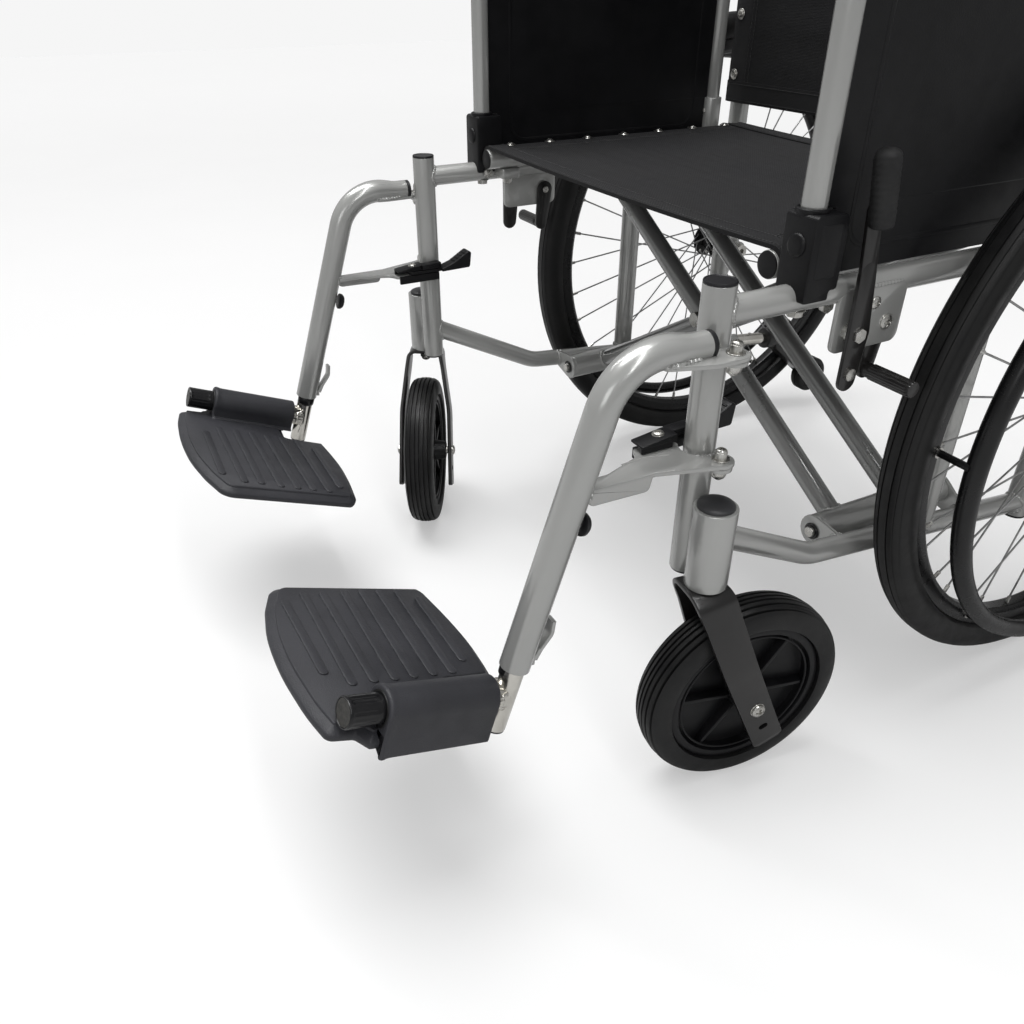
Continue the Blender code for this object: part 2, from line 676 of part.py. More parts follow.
def lock_plate():
    """The plate that carries the wheel lock, with the two pins that its levers turn on."""
    corners = (
        (LOCK_PLATE_FRONT_Y, TOP_TUBE_Z),
        (LOCK_PLATE_FRONT_Y, LOCK_PLATE_BOTTOM_Z),
        (LOCK_PLATE_REAR_Y, LOCK_PLATE_BOTTOM_Z),
        (LOCK_PLATE_REAR_Y, TOP_TUBE_Z),
    )
    outline = rounded_outline(corners, 0.008)
    outer = LOCK_PLATE_X + LOCK_PLATE_THICKNESS
    lever_pin_end = LOCK_LEVER_X + LOCK_STRAP
    boss = bar(
        ((LOCK_PLATE_X, LEVER_PIVOT_Y, LEVER_PIVOT_Z), (LOCK_LEVER_X - GAP, LEVER_PIVOT_Y, LEVER_PIVOT_Z)),
        LOCK_PIN_R * 2,
        PIN_SIDES,
    )
    lever_pin = bar(
        (
            (LOCK_PLATE_X, LEVER_PIVOT_Y, LEVER_PIVOT_Z),
            (lever_pin_end + 0.002, LEVER_PIVOT_Y, LEVER_PIVOT_Z),
        ),
        LOCK_PIN_R,
        PIN_SIDES,
    )
    shoe_pin = bar(
        (
            (LOCK_PLATE_X - GAP - LOCK_STRAP - 0.002, SHOE_PIVOT_Y, SHOE_PIVOT_Z),
            (outer - LOCK_PLATE_THICKNESS / 4, SHOE_PIVOT_Y, SHOE_PIVOT_Z),
        ),
        LOCK_PIN_R,
        PIN_SIDES,
    )
    return [prism(outline, "yz", LOCK_PLATE_X, outer), boss, lever_pin, shoe_pin]


def frame_trim(side, tag):
    """Plugs in the tube tops, and the moulded grip on the push handle."""
    body = tag + "_frame"
    base = POST_TOP_Z + GAP
    cap = ((base, POST_R), (base + CAP_RIM, POST_R), (base + CAP_RIM + CAP_DOME, POST_R * 0.45))
    add_node("post_cap_" + tag, body, "black_plastic",
             [turned(cap, (POST_X, 0, 0), Z_AXIS, 16)], side=side)
    base = BARREL_TOP_Z + GAP
    rim_r = BARREL_OFFSET - POST_R - 2 * GAP
    cap = ((base, rim_r), (base + CAP_RIM * 0.5, rim_r), (base + CAP_RIM + CAP_DOME, rim_r * 0.5))
    add_node("barrel_cap_" + tag, body, "black_plastic",
             [turned(cap, (BARREL_X, 0, 0), Z_AXIS, 18)], side=side)
    tip = CANE_Y + HANDLE_LENGTH + GAP
    profile = [(tip + GRIP_END, GRIP_R * 0.8), (tip, GRIP_R), (tip - GRIP_LENGTH, GRIP_R * 1.0),
               (tip - GRIP_LENGTH - GRIP_END, GRIP_R * 1.15)]
    start = tip - GRIP_LENGTH - GRIP_END
    bore = hole((POST_X, start - 0.01, HANDLE_Z), (POST_X, tip, HANDLE_Z), POST_R + FIT)
    add_node("push_grip_" + tag, body, "black_plastic",
             [turned(profile, (POST_X, 0, HANDLE_Z), Y_AXIS, 16)], [bore], side)


# Folding braces


def brace(name, body, leg_y, side, finish_name="silver_paint"):
    """One half of the cross: a sleeve at the lower pivot, two legs, and a seat rail opposite."""
    low = Vector((PIVOT_X, 0, PIVOT_Z))
    high = Vector((-SEAT_RAIL_X, 0, SEAT_RAIL_Z))
    solids = [
        bar(((PIVOT_X, SLEEVE_FRONT_Y, PIVOT_Z), (PIVOT_X, SLEEVE_END_Y, PIVOT_Z)), SLEEVE_R, 16),
        bar(
            ((-SEAT_RAIL_X, SEAT_RAIL_FRONT_Y, SEAT_RAIL_Z), (-SEAT_RAIL_X, SEAT_RAIL_REAR_Y, SEAT_RAIL_Z)),
            BRACE_R,
        ),
    ]
    cuts = [
        hole((PIVOT_X, 0, PIVOT_Z), (PIVOT_X, CANE_Y, PIVOT_Z), PIVOT_ROD_R + FIT, PIN_SIDES)
    ]
    for y in (leg_y, leg_y + BRACE_SPAN):
        solids.append(bar((low + y * Y_AXIS, high + y * Y_AXIS), BRACE_R))
        cuts.append(
            hole((0, y - 0.02, CROSS_Z), (0, y + 0.02, CROSS_Z), CROSS_BOLT_R + FIT, PIN_SIDES)
        )
    add_node(name, body, finish_name, solids, cuts, side)


def cross_bolts():
    grip = BRACE_STAGGER + 2 * BRACE_R + 2 * GAP
    for name, y in (("cross_bolt_front", BRACE_FRONT_Y), ("cross_bolt_rear", BRACE_FRONT_Y + BRACE_SPAN)):
        solids = bolt(
            (0, y - BRACE_R - GAP, CROSS_Z), Y_AXIS, CROSS_BOLT_R, grip,
            CROSS_HEAD_R, CROSS_HEAD_THICKNESS, CROSS_HEAD_THICKNESS,
        )
        add_node(name, "brace_b", "zinc", solids)


def slings():
    seat = block(
        (-SEAT_SLING_HALF_WIDTH, SEAT_RAIL_FRONT_Y, SEAT_SLING_Z),
        (SEAT_SLING_HALF_WIDTH, SEAT_RAIL_REAR_Y, SEAT_SLING_Z + SLING_THICKNESS),
    )
    add_node("seat_sling", "brace_b", "upholstery", [seat])
    back = block(
        (-BACK_SLING_HALF_WIDTH, BACK_SLING_Y, BACK_SLING_BOTTOM_Z),
        (BACK_SLING_HALF_WIDTH, BACK_SLING_Y + SLING_THICKNESS, BACK_SLING_TOP_Z),
    )
    add_node("back_sling", "right_frame", "upholstery", [back])


# Rear wheels


def rear_wheel(side, tag):
    centre = Vector((WHEEL_X, WHEEL_Y, WHEEL_R))
    body = "rear_wheel_" + tag
    half = WHEEL_TYRE_HALF_WIDTH
    bead = WHEEL_RIM_R + GAP
    tyre = (
        (-half * 0.68, bead), (-half, bead + 0.011), (-half * 0.84, WHEEL_R - 0.009),
        (-half * 0.42, WHEEL_R), (half * 0.42, WHEEL_R), (half * 0.84, WHEEL_R - 0.009),
        (half, bead + 0.011), (half * 0.68, bead),
    )
    add_node("rear_tyre_" + tag, body, "rubber",
             [turned(tyre, centre, X_AXIS, WHEEL_SEGMENTS, closed=True)], side=side)
    rim_inner = WHEEL_RIM_R - RIM_DEPTH
    rim = (
        (-RIM_HALF_WIDTH, WHEEL_RIM_R), (-RIM_HALF_WIDTH, rim_inner + 0.0035),
        (-RIM_HALF_WIDTH * 0.6, rim_inner), (RIM_HALF_WIDTH * 0.6, rim_inner),
        (RIM_HALF_WIDTH, rim_inner + 0.0035), (RIM_HALF_WIDTH, WHEEL_RIM_R),
    )
    hub = (
        (-HUB_HALF_LENGTH, HUB_BARREL_R), (-HUB_FLANGE_X - 0.002, HUB_BARREL_R),
        (-HUB_FLANGE_X - 0.0015, HUB_FLANGE_R), (-HUB_FLANGE_X + 0.0015, HUB_FLANGE_R),
        (-HUB_FLANGE_X + 0.002, HUB_BARREL_R), (HUB_FLANGE_X - 0.002, HUB_BARREL_R),
        (HUB_FLANGE_X - 0.0015, HUB_FLANGE_R), (HUB_FLANGE_X + 0.0015, HUB_FLANGE_R),
        (HUB_FLANGE_X + 0.002, HUB_BARREL_R), (HUB_HALF_LENGTH, HUB_BARREL_R),
    )
    solids = [
        turned(rim, centre, X_AXIS, WHEEL_SEGMENTS, closed=True),
        turned(hub, centre, X_AXIS, 16),
    ]
    flange_r = HUB_FLANGE_R - 0.004
    rim_r = rim_inner + 0.004
    for number in range(SPOKES):
        facing = -1 if number % 2 else 1
        leading = number % 4 < 2
        lead = math.radians(SPOKE_LEAD if leading else -SPOKE_LEAD)
        lift = SPOKE_OFFSET if leading else -SPOKE_OFFSET
        at_rim = math.tau * number / SPOKES
        at_hub = at_rim + lead
        hub_x = facing * (HUB_FLANGE_X + lift)
        rim_x = facing * (2 * SPOKE_OFFSET + lift)
        start = centre + Vector((hub_x, flange_r * math.cos(at_hub), flange_r * math.sin(at_hub)))
        end = centre + Vector((rim_x, rim_r * math.cos(at_rim), rim_r * math.sin(at_rim)))
        solids.append(bar((start, end), SPOKE_R, 3))
    bore = hole((POST_X - CUT_MARGIN, WHEEL_Y, WHEEL_R), (WHEEL_X + CUT_MARGIN, WHEEL_Y, WHEEL_R), AXLE_R + FIT)
    add_node("rear_wheel_" + tag, body, "black_paint", solids, [bore], side)
    handrim(side, tag, centre)
    grip = HUB_OUTER_X - AXLE_SLEEVE_INNER_X
    axle = bolt(
        (AXLE_SLEEVE_INNER_X, WHEEL_Y, WHEEL_R), X_AXIS, AXLE_R, grip + GAP,
        AXLE_NUT_R, AXLE_NUT, AXLE_NUT, TUBE_SIDES,
    )
    add_node("rear_axle_" + tag, tag + "_frame", "zinc", axle, side=side)


def handrim(side, tag, centre):
    """A round hoop outboard of the wheel, on short posts that reach the side of the rim."""
    ring = []
    for k in range(8):
        turn = math.tau * (k + 0.5) / 8
        ring.append(
            (HANDRIM_X - WHEEL_X + HANDRIM_R * math.cos(turn), HANDRIM_MAJOR_R + HANDRIM_R * math.sin(turn))
        )
    solids = [turned(ring, centre, X_AXIS, WHEEL_SEGMENTS, closed=True)]
    post_r = WHEEL_RIM_R - RIM_DEPTH + 0.0035 + HANDRIM_POST_R
    for number in range(HANDRIM_POSTS):
        turn = math.tau * number / HANDRIM_POSTS
        y = post_r * math.cos(turn)
        z = post_r * math.sin(turn)
        start = centre + Vector((RIM_HALF_WIDTH + GAP, y, z))
        end = centre + Vector((HANDRIM_X - WHEEL_X, y, z))
        solids.append(bar((start, end), HANDRIM_POST_R, 8))
    add_node("handrim_" + tag, "rear_wheel_" + tag, "black_paint", solids, side=side)


# Casters


def caster(side, tag):
    fork_body = "caster_fork_" + tag
    wheel_body = "caster_wheel_" + tag
    centre = Vector((BARREL_X, CASTER_TRAIL, CASTER_Z))
    top = FORK_CROWN_Z
    slope = (CASTER_TRAIL + 0.004) / (top - CASTER_Z)
    toe_y = CASTER_TRAIL + (CASTER_Z - FORK_TOE_Z) * slope
    strap = link((-0.004, top - FORK_STRAP_WIDTH / 2), FORK_STRAP_WIDTH / 2,
                 (toe_y, FORK_TOE_Z), FORK_STRAP_WIDTH * 0.42)
    crown_r = FORK_STRAP_WIDTH / 2
    outline = rounded_outline(
        (
            (BARREL_X - FORK_HALF_WIDTH, -crown_r - 0.004), (BARREL_X + FORK_HALF_WIDTH, -crown_r - 0.004),
            (BARREL_X + FORK_HALF_WIDTH, crown_r), (BARREL_X - FORK_HALF_WIDTH, crown_r),
        ),
        0.004,
    )
    solids = [
        prism(outline, "xy", top - FORK_CROWN_DROP, top),
        bar(((BARREL_X, 0, top - 0.004), (BARREL_X, 0, BARREL_TOP_Z - STEM_TOP_MARGIN)), STEM_R),
    ]
    for low in (BARREL_X - FORK_HALF_WIDTH, BARREL_X + FORK_INNER_X):
        solids.append(prism(strap, "yz", low, low + FORK_STRAP))
    axle_hole = hole(
        (BARREL_X - CUT_MARGIN, CASTER_TRAIL, CASTER_Z), (BARREL_X + CUT_MARGIN, CASTER_TRAIL, CASTER_Z),
        CASTER_AXLE_R + FIT, PIN_SIDES,
    )
    add_node("caster_fork_" + tag, fork_body, "black_paint", solids, [axle_hole], side)
    half = CASTER_TYRE_HALF_WIDTH
    bead = CASTER_RIM_R + GAP
    tyre = (
        (-half, bead), (-half, CASTER_R - 0.008), (-half * 0.78, CASTER_R - 0.0025),
        (-half * 0.4, CASTER_R), (half * 0.4, CASTER_R), (half * 0.78, CASTER_R - 0.0025),
        (half, CASTER_R - 0.008), (half, bead),
    )
    add_node("caster_tyre_" + tag, wheel_body, "rubber",
             [turned(tyre, centre, X_AXIS, CASTER_SEGMENTS, closed=True)], side=side)
    rim_half = half * 0.8
    boss = FORK_INNER_X - GAP
    web_r = CASTER_RIM_R - 0.0095
    hub = (
        (-boss, HUB_BOSS_R), (-HUB_WEB, HUB_BOSS_R + 0.004), (-HUB_WEB, web_r), (-rim_half, CASTER_RIM_R - 0.006),
        (-rim_half, CASTER_RIM_R), (rim_half, CASTER_RIM_R), (rim_half, CASTER_RIM_R - 0.006), (HUB_WEB, web_r),
        (HUB_WEB, HUB_BOSS_R + 0.004), (boss, HUB_BOSS_R),
    )
    solids = [turned(hub, centre, X_AXIS, CASTER_SEGMENTS)]
    for number in range(HUB_RIBS):
        spin = Matrix.Rotation(math.tau * number / HUB_RIBS, 4, "X")
        low = (-HUB_RIB_REACH, HUB_BOSS_R, -HUB_RIB / 2)
        high = (HUB_RIB_REACH, CASTER_RIM_R - 0.0075, HUB_RIB / 2)
        solids.append(block(low, high, Matrix.Translation(centre) @ spin))
    add_node("caster_hub_" + tag, wheel_body, "black_plastic", solids, [axle_hole], side)
    axle = bolt(
        (BARREL_X - FORK_HALF_WIDTH, CASTER_TRAIL, CASTER_Z), X_AXIS, CASTER_AXLE_R, 2 * FORK_HALF_WIDTH,
        0.0075, CASTER_BOLT_HEAD, CASTER_BOLT_HEAD,
    )
    add_node("caster_axle_" + tag, fork_body, "zinc", axle, side=side)


# Hangers


def hinge_pins(side, tag):
    for name, top in (("hinge_pin_lower_", LOWER_EAR_TOP_Z), ("hinge_pin_upper_", UPPER_EAR_TOP_Z)):
        grip = 2 * EAR_THICKNESS + GAP
        head_seat = top + GAP + EAR_THICKNESS
        solids = bolt(
            (HINGE_X, 0, head_seat), -Z_AXIS, HINGE_PIN_R, grip, HINGE_HEAD_R, HINGE_HEAD, HINGE_NUT
        )
        add_node(name + tag, tag + "_frame", "zinc", solids, side=side)


def hanger(side, tag):
    body = "hanger_" + tag
    rise = HANGER_TOP_Z - HANGER_FOOT_Z
    corner_y = HANGER_FOOT_Y + rise / math.tan(math.radians(HANGER_SLOPE))
    path = rounded(
        (HANGER_FOOT, (HANGER_X, corner_y, HANGER_TOP_Z), (HANGER_X, HANGER_END_Y, HANGER_TOP_Z)),
        HANGER_BEND_R, 8,
    )
    plate_y = HANGER_FOOT_Y + (LOWER_PLATE_Z - HANGER_FOOT_Z) / math.tan(math.radians(HANGER_SLOPE))
    arm = link((HANGER_X, plate_y + 0.012), 0.011, (HINGE_X, 0), EAR_R + 0.001)
    tongue = (
        (LATCH_PLATE_INNER_X, -0.0475), (LATCH_PLATE_INNER_X, -0.0145), (HANGER_X - 0.006, -0.0145),
        (HANGER_X + 0.004, -0.030), (HANGER_X + 0.004, -0.080), (HANGER_X - 0.014, -0.0910),
    )
    upper = link((HANGER_X, -0.056), 0.011, (HINGE_X, 0), EAR_R + 0.001)
    flange = prism(
        ((plate_y + 0.004, LOWER_PLATE_Z + 0.002), (plate_y + 0.004, LOWER_PLATE_Z - 0.011),
         (-0.066, LOWER_PLATE_Z - 0.0095), (-0.052, LOWER_PLATE_Z + 0.002)),
        "yz", HANGER_X + 0.0015, HANGER_X + 0.0045,
    )
    hook_y = HANGER_FOOT_Y + 0.018
    hook_z = HANGER_FOOT_Z
    hook = prism(
        (
            (hook_y - 0.004, hook_z + 0.004), (hook_y + 0.004, hook_z + 0.004),
            (hook_y + 0.013, hook_z + 0.018), (hook_y + 0.017, hook_z + 0.036),
            (hook_y + 0.013, hook_z + 0.036), (hook_y + 0.008, hook_z + 0.022),
            (hook_y + 0.001, hook_z + 0.014), (hook_y - 0.002, hook_z + 0.014),
        ),
        "yz", HANGER_X - 0.005, HANGER_X + 0.005,
    )
    solids = [
        tube(path, HANGER_R, 14),
        prism(arm, "xy", LOWER_PLATE_Z, LOWER_PLATE_Z + EAR_THICKNESS),
        prism(tongue, "xy", LOWER_PLATE_Z, LOWER_PLATE_Z + EAR_THICKNESS),
        prism(upper, "xy", UPPER_PLATE_Z, UPPER_PLATE_Z + EAR_THICKNESS),
        flange,
        hook,
    ]
    cuts = [
        hole(extension_point(-EXTENSION_HIDDEN - 0.030), extension_point(0.01), EXTENSION_R + FIT, 14),
        hole((HINGE_X, 0, LOWER_PLATE_Z - 0.01), (HINGE_X, 0, LOWER_PLATE_Z + 0.02), PIN_HOLE_R, PIN_SIDES),
        hole((HINGE_X, 0, UPPER_PLATE_Z - 0.01), (HINGE_X, 0, UPPER_PLATE_Z + 0.02), PIN_HOLE_R, PIN_SIDES),
    ]
    add_node("hanger_" + tag, body, "silver_paint", solids, cuts, side)


def latch(side, tag):
    plate_top = LOWER_PLATE_Z + EAR_THICKNESS
    lever_low = plate_top + GAP
    lever_top = lever_low + LATCH_LEVER_THICKNESS
    cover_low = lever_top + GAP
    cover_top = cover_low + LATCH_COVER
    foot_x = LATCH_X + 0.0115
    cover = rounded_outline(
        ((LATCH_X - 0.007, -0.047), (HANGER_X - 0.008, -0.047), (HANGER_X - 0.008, -0.0165),
         (LATCH_X - 0.007, -0.0165)), 0.004
    )
    solids = [
        prism(cover, "xy", cover_low, cover_top),
        block((foot_x, -0.043, plate_top + GAP), (HANGER_X - 0.010, -0.019, cover_low + 0.002)),
        bar(((LATCH_X, LATCH_Y, plate_top + GAP), (LATCH_X, LATCH_Y, cover_top + 0.002)), LATCH_PIN_R, PIN_SIDES),
    ]
    add_node("latch_block_" + tag, "hanger_" + tag, "black_plastic", solids, side=side)
    tip_y = LATCH_Y + LATCH_LEVER_REACH
    strap = link((LATCH_X - 0.0015, LATCH_Y), 0.0065, (LATCH_X - 0.004, LATCH_Y + 0.046), 0.0045)
    paddle = rounded_outline(
        (
            (LATCH_X - 0.009, LATCH_Y + 0.038), (LATCH_X + 0.001, LATCH_Y + 0.044),
            (LATCH_X + 0.004, tip_y), (LATCH_X - 0.015, tip_y),
        ),
        0.002,
    )
    solids = [
        prism(strap, "xy", lever_low, lever_top),
        prism(paddle, "xy", lever_low, lever_top + 0.004),
    ]
    pivot = hole((LATCH_X, LATCH_Y, lever_low - 0.01), (LATCH_X, LATCH_Y, lever_top + 0.01),
                 LATCH_PIN_R + FIT, PIN_SIDES)
    add_node("latch_lever_" + tag, "latch_lever_" + tag, "black_plastic", solids, [pivot], side)


def extension(side, tag):
    heel_length = (HEEL_REAR - HEEL_FRONT).length + HEEL_OVERLAP
    solids = [
        bar((extension_point(-EXTENSION_HIDDEN), extension_point(EXTENSION_SHOWN)), EXTENSION_R, 14),
        bar((heel_point(0, 0, 0), heel_point(0, heel_length, 0)), HEEL_R, 16),
    ]
    add_node("extension_tube_" + tag, "extension_" + tag, "chrome", solids, side=side)


def footplate(side, tag):
    outline = rounded_outline(PLATE_OUTLINE, 0.006, 2)
    solids = [
        bevelled_plate(outline, PLATE_TOP - PLATE_THICKNESS, PLATE_TOP, PLATE_BEVEL, HEEL_FRAME),
        bar((heel_point(0, HOUSING_START, 0), heel_point(0, HOUSING_END, 0)), HOUSING_R, 16),
        block(
            (-HOUSING_R, HOUSING_START, -SKIRT_DROP),
            (SKIRT_THICKNESS - HOUSING_R, HOUSING_END, 0),
            HEEL_FRAME,
        ),
    ]
    bore = hole(heel_point(0, -0.02, 0), heel_point(0, 0.16, 0), HEEL_R + FIT, 16)
    add_node("footplate_" + tag, "footplate_" + tag, "moulded_grey", solids, [bore], side)


# Armrests


def armrest(side, tag):
    body = "armrest_" + tag
    path = rounded(
        (
            (POST_X, ARM_FRONT_Y, ARM_FOOT_Z), (POST_X, ARM_FRONT_Y, ARM_TOP_Z),
            (POST_X, ARM_REAR_Y, ARM_TOP_Z), (POST_X, ARM_REAR_Y, ARM_FOOT_Z),
        ),
        ARM_BEND_R,
    )
    add_node("arm_frame_" + tag, body, "silver_paint", [tube(path, ARM_R)], side=side)
    pad_outline = rounded_outline(
        (
            (POST_X - PAD_HALF_WIDTH, PAD_FRONT_Y), (POST_X + PAD_HALF_WIDTH, PAD_FRONT_Y),
            (POST_X + PAD_HALF_WIDTH, PAD_REAR_Y), (POST_X - PAD_HALF_WIDTH, PAD_REAR_Y),
        ),
        0.018,
    )
    add_node("arm_pad_" + tag, body, "black_plastic",
             [prism(pad_outline, "xy", PAD_BOTTOM_Z, PAD_BOTTOM_Z + PAD_THICKNESS)], side=side)
    front = ARM_FRONT_Y + ARM_R + GAP
    rear = ARM_REAR_Y - ARM_R - GAP
    block_rear = ARM_FRONT_Y + ARM_BLOCK_LENGTH / 2 + GAP
    socket_front = ARM_REAR_Y - ARM_SOCKET_R - GAP
    shelf = ARM_SOCKET_TOP_Z + GAP
    top = ARM_TOP_Z - ARM_R - GAP
    corner = ARM_BEND_R * 0.75
    panel = (
        (block_rear, PANEL_BOTTOM_Z), (socket_front, PANEL_BOTTOM_Z), (socket_front, shelf), (rear, shelf),
        (rear, top - corner), (rear - corner, top), (front + corner, top), (front, top - corner),
        (front, shelf), (block_rear, shelf),
    )
    add_node("side_panel_" + tag, body, "black_plastic",
             [prism(panel, "yz", POST_X - PANEL_THICKNESS / 2, POST_X + PANEL_THICKNESS / 2)], side=side)
    half = ARM_BLOCK_LENGTH / 2
    saddle = rounded_outline(
        (
            (ARM_FRONT_Y - half, ARM_BLOCK_BOTTOM_Z), (ARM_FRONT_Y + half, ARM_BLOCK_BOTTOM_Z),
            (ARM_FRONT_Y + half, ARM_SOCKET_TOP_Z), (ARM_FRONT_Y - half, ARM_SOCKET_TOP_Z),
        ),
        0.006,
    )
    tube_gap = TUBE_R + GAP
    cuts = [
        hole((POST_X, ARM_FRONT_Y - CUT_MARGIN, TOP_TUBE_Z), (POST_X, ARM_FRONT_Y + CUT_MARGIN, TOP_TUBE_Z), tube_gap),
        block((POST_X - tube_gap, ARM_FRONT_Y - CUT_MARGIN, TOP_TUBE_Z - CUT_MARGIN),
              (POST_X + tube_gap, ARM_FRONT_Y + CUT_MARGIN, TOP_TUBE_Z)),
        hole((POST_X, ARM_FRONT_Y, ARM_FOOT_Z - GAP), (POST_X, ARM_FRONT_Y, ARM_TOP_Z), ARM_R + FIT),
    ]
    add_node("arm_socket_" + tag, tag + "_frame", "black_plastic",
             [prism(saddle, "yz", POST_X - ARM_BLOCK_HALF_WIDTH, ARM_BLOCK_OUTER_X)], cuts, side)


# Wheel locks


def wheel_lock(side, tag):
    pivot = (LEVER_PIVOT_Y, LEVER_PIVOT_Z)
    lobe = (LEVER_PIVOT_Y - 0.002, LEVER_PIVOT_Z - LEVER_LOBE_DROP)
    elbow = (LEVER_PIVOT_Y - 0.004, LEVER_PIVOT_Z + 0.050)
    grip_low = (LEVER_PIVOT_Y - 0.010, LEVER_HANDLE_Z - LEVER_GRIP_LENGTH)
    outer = LOCK_LEVER_X + LOCK_STRAP
    lean = (grip_low[0] - elbow[0]) / (grip_low[1] - elbow[1])
    grip_x = LOCK_LEVER_X + LEVER_GRIP_INSET + LEVER_GRIP_R
    grip = bar(
        ((grip_x, grip_low[0], grip_low[1]),
         (grip_x, grip_low[0] + lean * LEVER_GRIP_LENGTH, LEVER_HANDLE_Z)),
        LEVER_GRIP_R, PIN_SIDES,
    )
    solids = [
        prism(link(lobe, 0.009, pivot, 0.011), "yz", LOCK_LEVER_X, outer),
        prism(link(pivot, 0.011, elbow, 0.008), "yz", LOCK_LEVER_X, outer),
        prism(link(elbow, 0.008, (grip_low[0], grip_low[1] + 0.01), 0.007), "yz", LOCK_LEVER_X, outer),
        grip,
    ]
    pivot_hole = hole((LOCK_LEVER_X - 0.01, *pivot), (outer + 0.01, *pivot), LOCK_PIN_R + FIT, PIN_SIDES)
    add_node("lock_lever_" + tag, "lock_lever_" + tag, "black_paint", solids, [pivot_hole], side)
    shoe_pivot = (SHOE_PIVOT_Y, SHOE_PIVOT_Z)
    shoe = (SHOE_PIVOT_Y - SHOE_LEAN, SHOE_PIVOT_Z - SHOE_DROP)
    high = LOCK_PLATE_X - GAP
    low = high - LOCK_STRAP
    solids = [
        prism(link(shoe_pivot, 0.010, shoe, 0.008), "yz", low, high),
        bar(((low, *shoe), (SHOE_OUTER_X, *shoe)), SHOE_R, PIN_SIDES),
    ]
    pivot_hole = hole((low - 0.01, *shoe_pivot), (high + 0.01, *shoe_pivot), LOCK_PIN_R + FIT, PIN_SIDES)
    add_node("lock_shoe_" + tag, "lock_shoe_" + tag, "black_paint", solids, [pivot_hole], side)


# Anti-tippers


def anti_tipper(side, tag):
    rail_end = Vector((POST_X, RAIL_END_Y, RAIL_END_Z))
    tube_end = rail_end + RAIL_SLOPE * TIPPER_TUBE
    wheel = Vector((POST_X, TIPPER_WHEEL_Y, TIPPER_WHEEL_Z))
    fork_top = (tube_end.y + 0.014, tube_end.z - 0.006)
    axle = (TIPPER_WHEEL_Y, TIPPER_WHEEL_Z)
    inner = TIPPER_WHEEL_HALF_WIDTH + GAP
    outer = inner + TIPPER_CHEEK
    reach = Vector((axle[0] - fork_top[0], axle[1] - fork_top[1]))
    shoulder = Vector(fork_top) + reach.normalized() * (reach.length - TIPPER_WHEEL_R - 0.006)
    solids = [
        bar((rail_end - RAIL_SLOPE * TIPPER_INSERT, tube_end), TIPPER_R),
        bar((tube_end - RAIL_SLOPE * 0.018, tube_end + RAIL_SLOPE * 0.012), TIPPER_BLOCK_R),
        prism(link(fork_top, TIPPER_BLOCK_R * 0.95, tuple(shoulder), 0.012), "yz",
              POST_X - outer, POST_X + outer),
        prism(link(tuple(shoulder), 0.012, axle, 0.010), "yz", POST_X - outer, POST_X - inner),
        prism(link(tuple(shoulder), 0.012, axle, 0.010), "yz", POST_X + inner, POST_X + outer),
        bar((wheel - X_AXIS * (outer + 0.002), wheel + X_AXIS * (outer + 0.002)), TIPPER_AXLE_R, PIN_SIDES),
    ]
    clear = turned(((-inner, TIPPER_WHEEL_R + 0.003), (inner, TIPPER_WHEEL_R + 0.003)), wheel, X_AXIS, 24)
    add_node("anti_tipper_" + tag, "anti_tipper_" + tag, "black_paint", solids[:5], [clear], side)
    profile = (
        (-TIPPER_WHEEL_HALF_WIDTH, TIPPER_WHEEL_R - 0.002), (-TIPPER_WHEEL_HALF_WIDTH + 0.002, TIPPER_WHEEL_R),
        (TIPPER_WHEEL_HALF_WIDTH - 0.002, TIPPER_WHEEL_R), (TIPPER_WHEEL_HALF_WIDTH, TIPPER_WHEEL_R - 0.002),
    )
    add_node("anti_tipper_wheel_" + tag, "anti_tipper_wheel_" + tag, "rubber",
             [turned(profile, wheel, X_AXIS, 24)], side=side)


# The tree of bodies, and the whole chair


def make_bodies():
    add_body("right_frame", None, (0, 0, 0))
    add_body("brace_b", "right_frame", (-PIVOT_X, BRACE_FRONT_Y, PIVOT_Z))
    add_body("brace_a", "brace_b", (0, BRACE_FRONT_Y, CROSS_Z))
    add_body("left_frame", "brace_a", (PIVOT_X, BRACE_FRONT_Y, PIVOT_Z))
    for side, tag, turn in ((1, "left", LEFT_CASTER_TURN), (-1, "right", RIGHT_CASTER_TURN)):
        frame = tag + "_frame"
        add_body("rear_wheel_" + tag, frame, (side * WHEEL_X, WHEEL_Y, WHEEL_R))
        add_body("caster_fork_" + tag, frame, (side * BARREL_X, 0, FORK_CROWN_Z), turn)
        add_body("hanger_" + tag, frame, (side * HINGE_X, 0, LOWER_PLATE_Z))
        add_body("latch_lever_" + tag, "hanger_" + tag, (side * LATCH_X, LATCH_Y, LOWER_PLATE_Z))
        add_body("extension_" + tag, "hanger_" + tag, (side * HANGER_X, HANGER_FOOT_Y, HANGER_FOOT_Z))
        add_body("footplate_" + tag, "extension_" + tag, (side * HEEL_FRONT.x, HEEL_FRONT.y, HEEL_FRONT.z))
        add_body("armrest_" + tag, frame, (side * POST_X, ARM_REAR_Y, ARM_FOOT_Z))
        add_body("lock_lever_" + tag, frame, (side * LOCK_LEVER_X, LEVER_PIVOT_Y, LEVER_PIVOT_Z))
        add_body("lock_shoe_" + tag, frame, (side * LOCK_PLATE_X, SHOE_PIVOT_Y, SHOE_PIVOT_Z))
        add_body("anti_tipper_" + tag, frame, (side * POST_X, RAIL_END_Y, RAIL_END_Z))
        add_body("anti_tipper_wheel_" + tag, "anti_tipper_" + tag,
                 (side * POST_X, TIPPER_WHEEL_Y, TIPPER_WHEEL_Z))


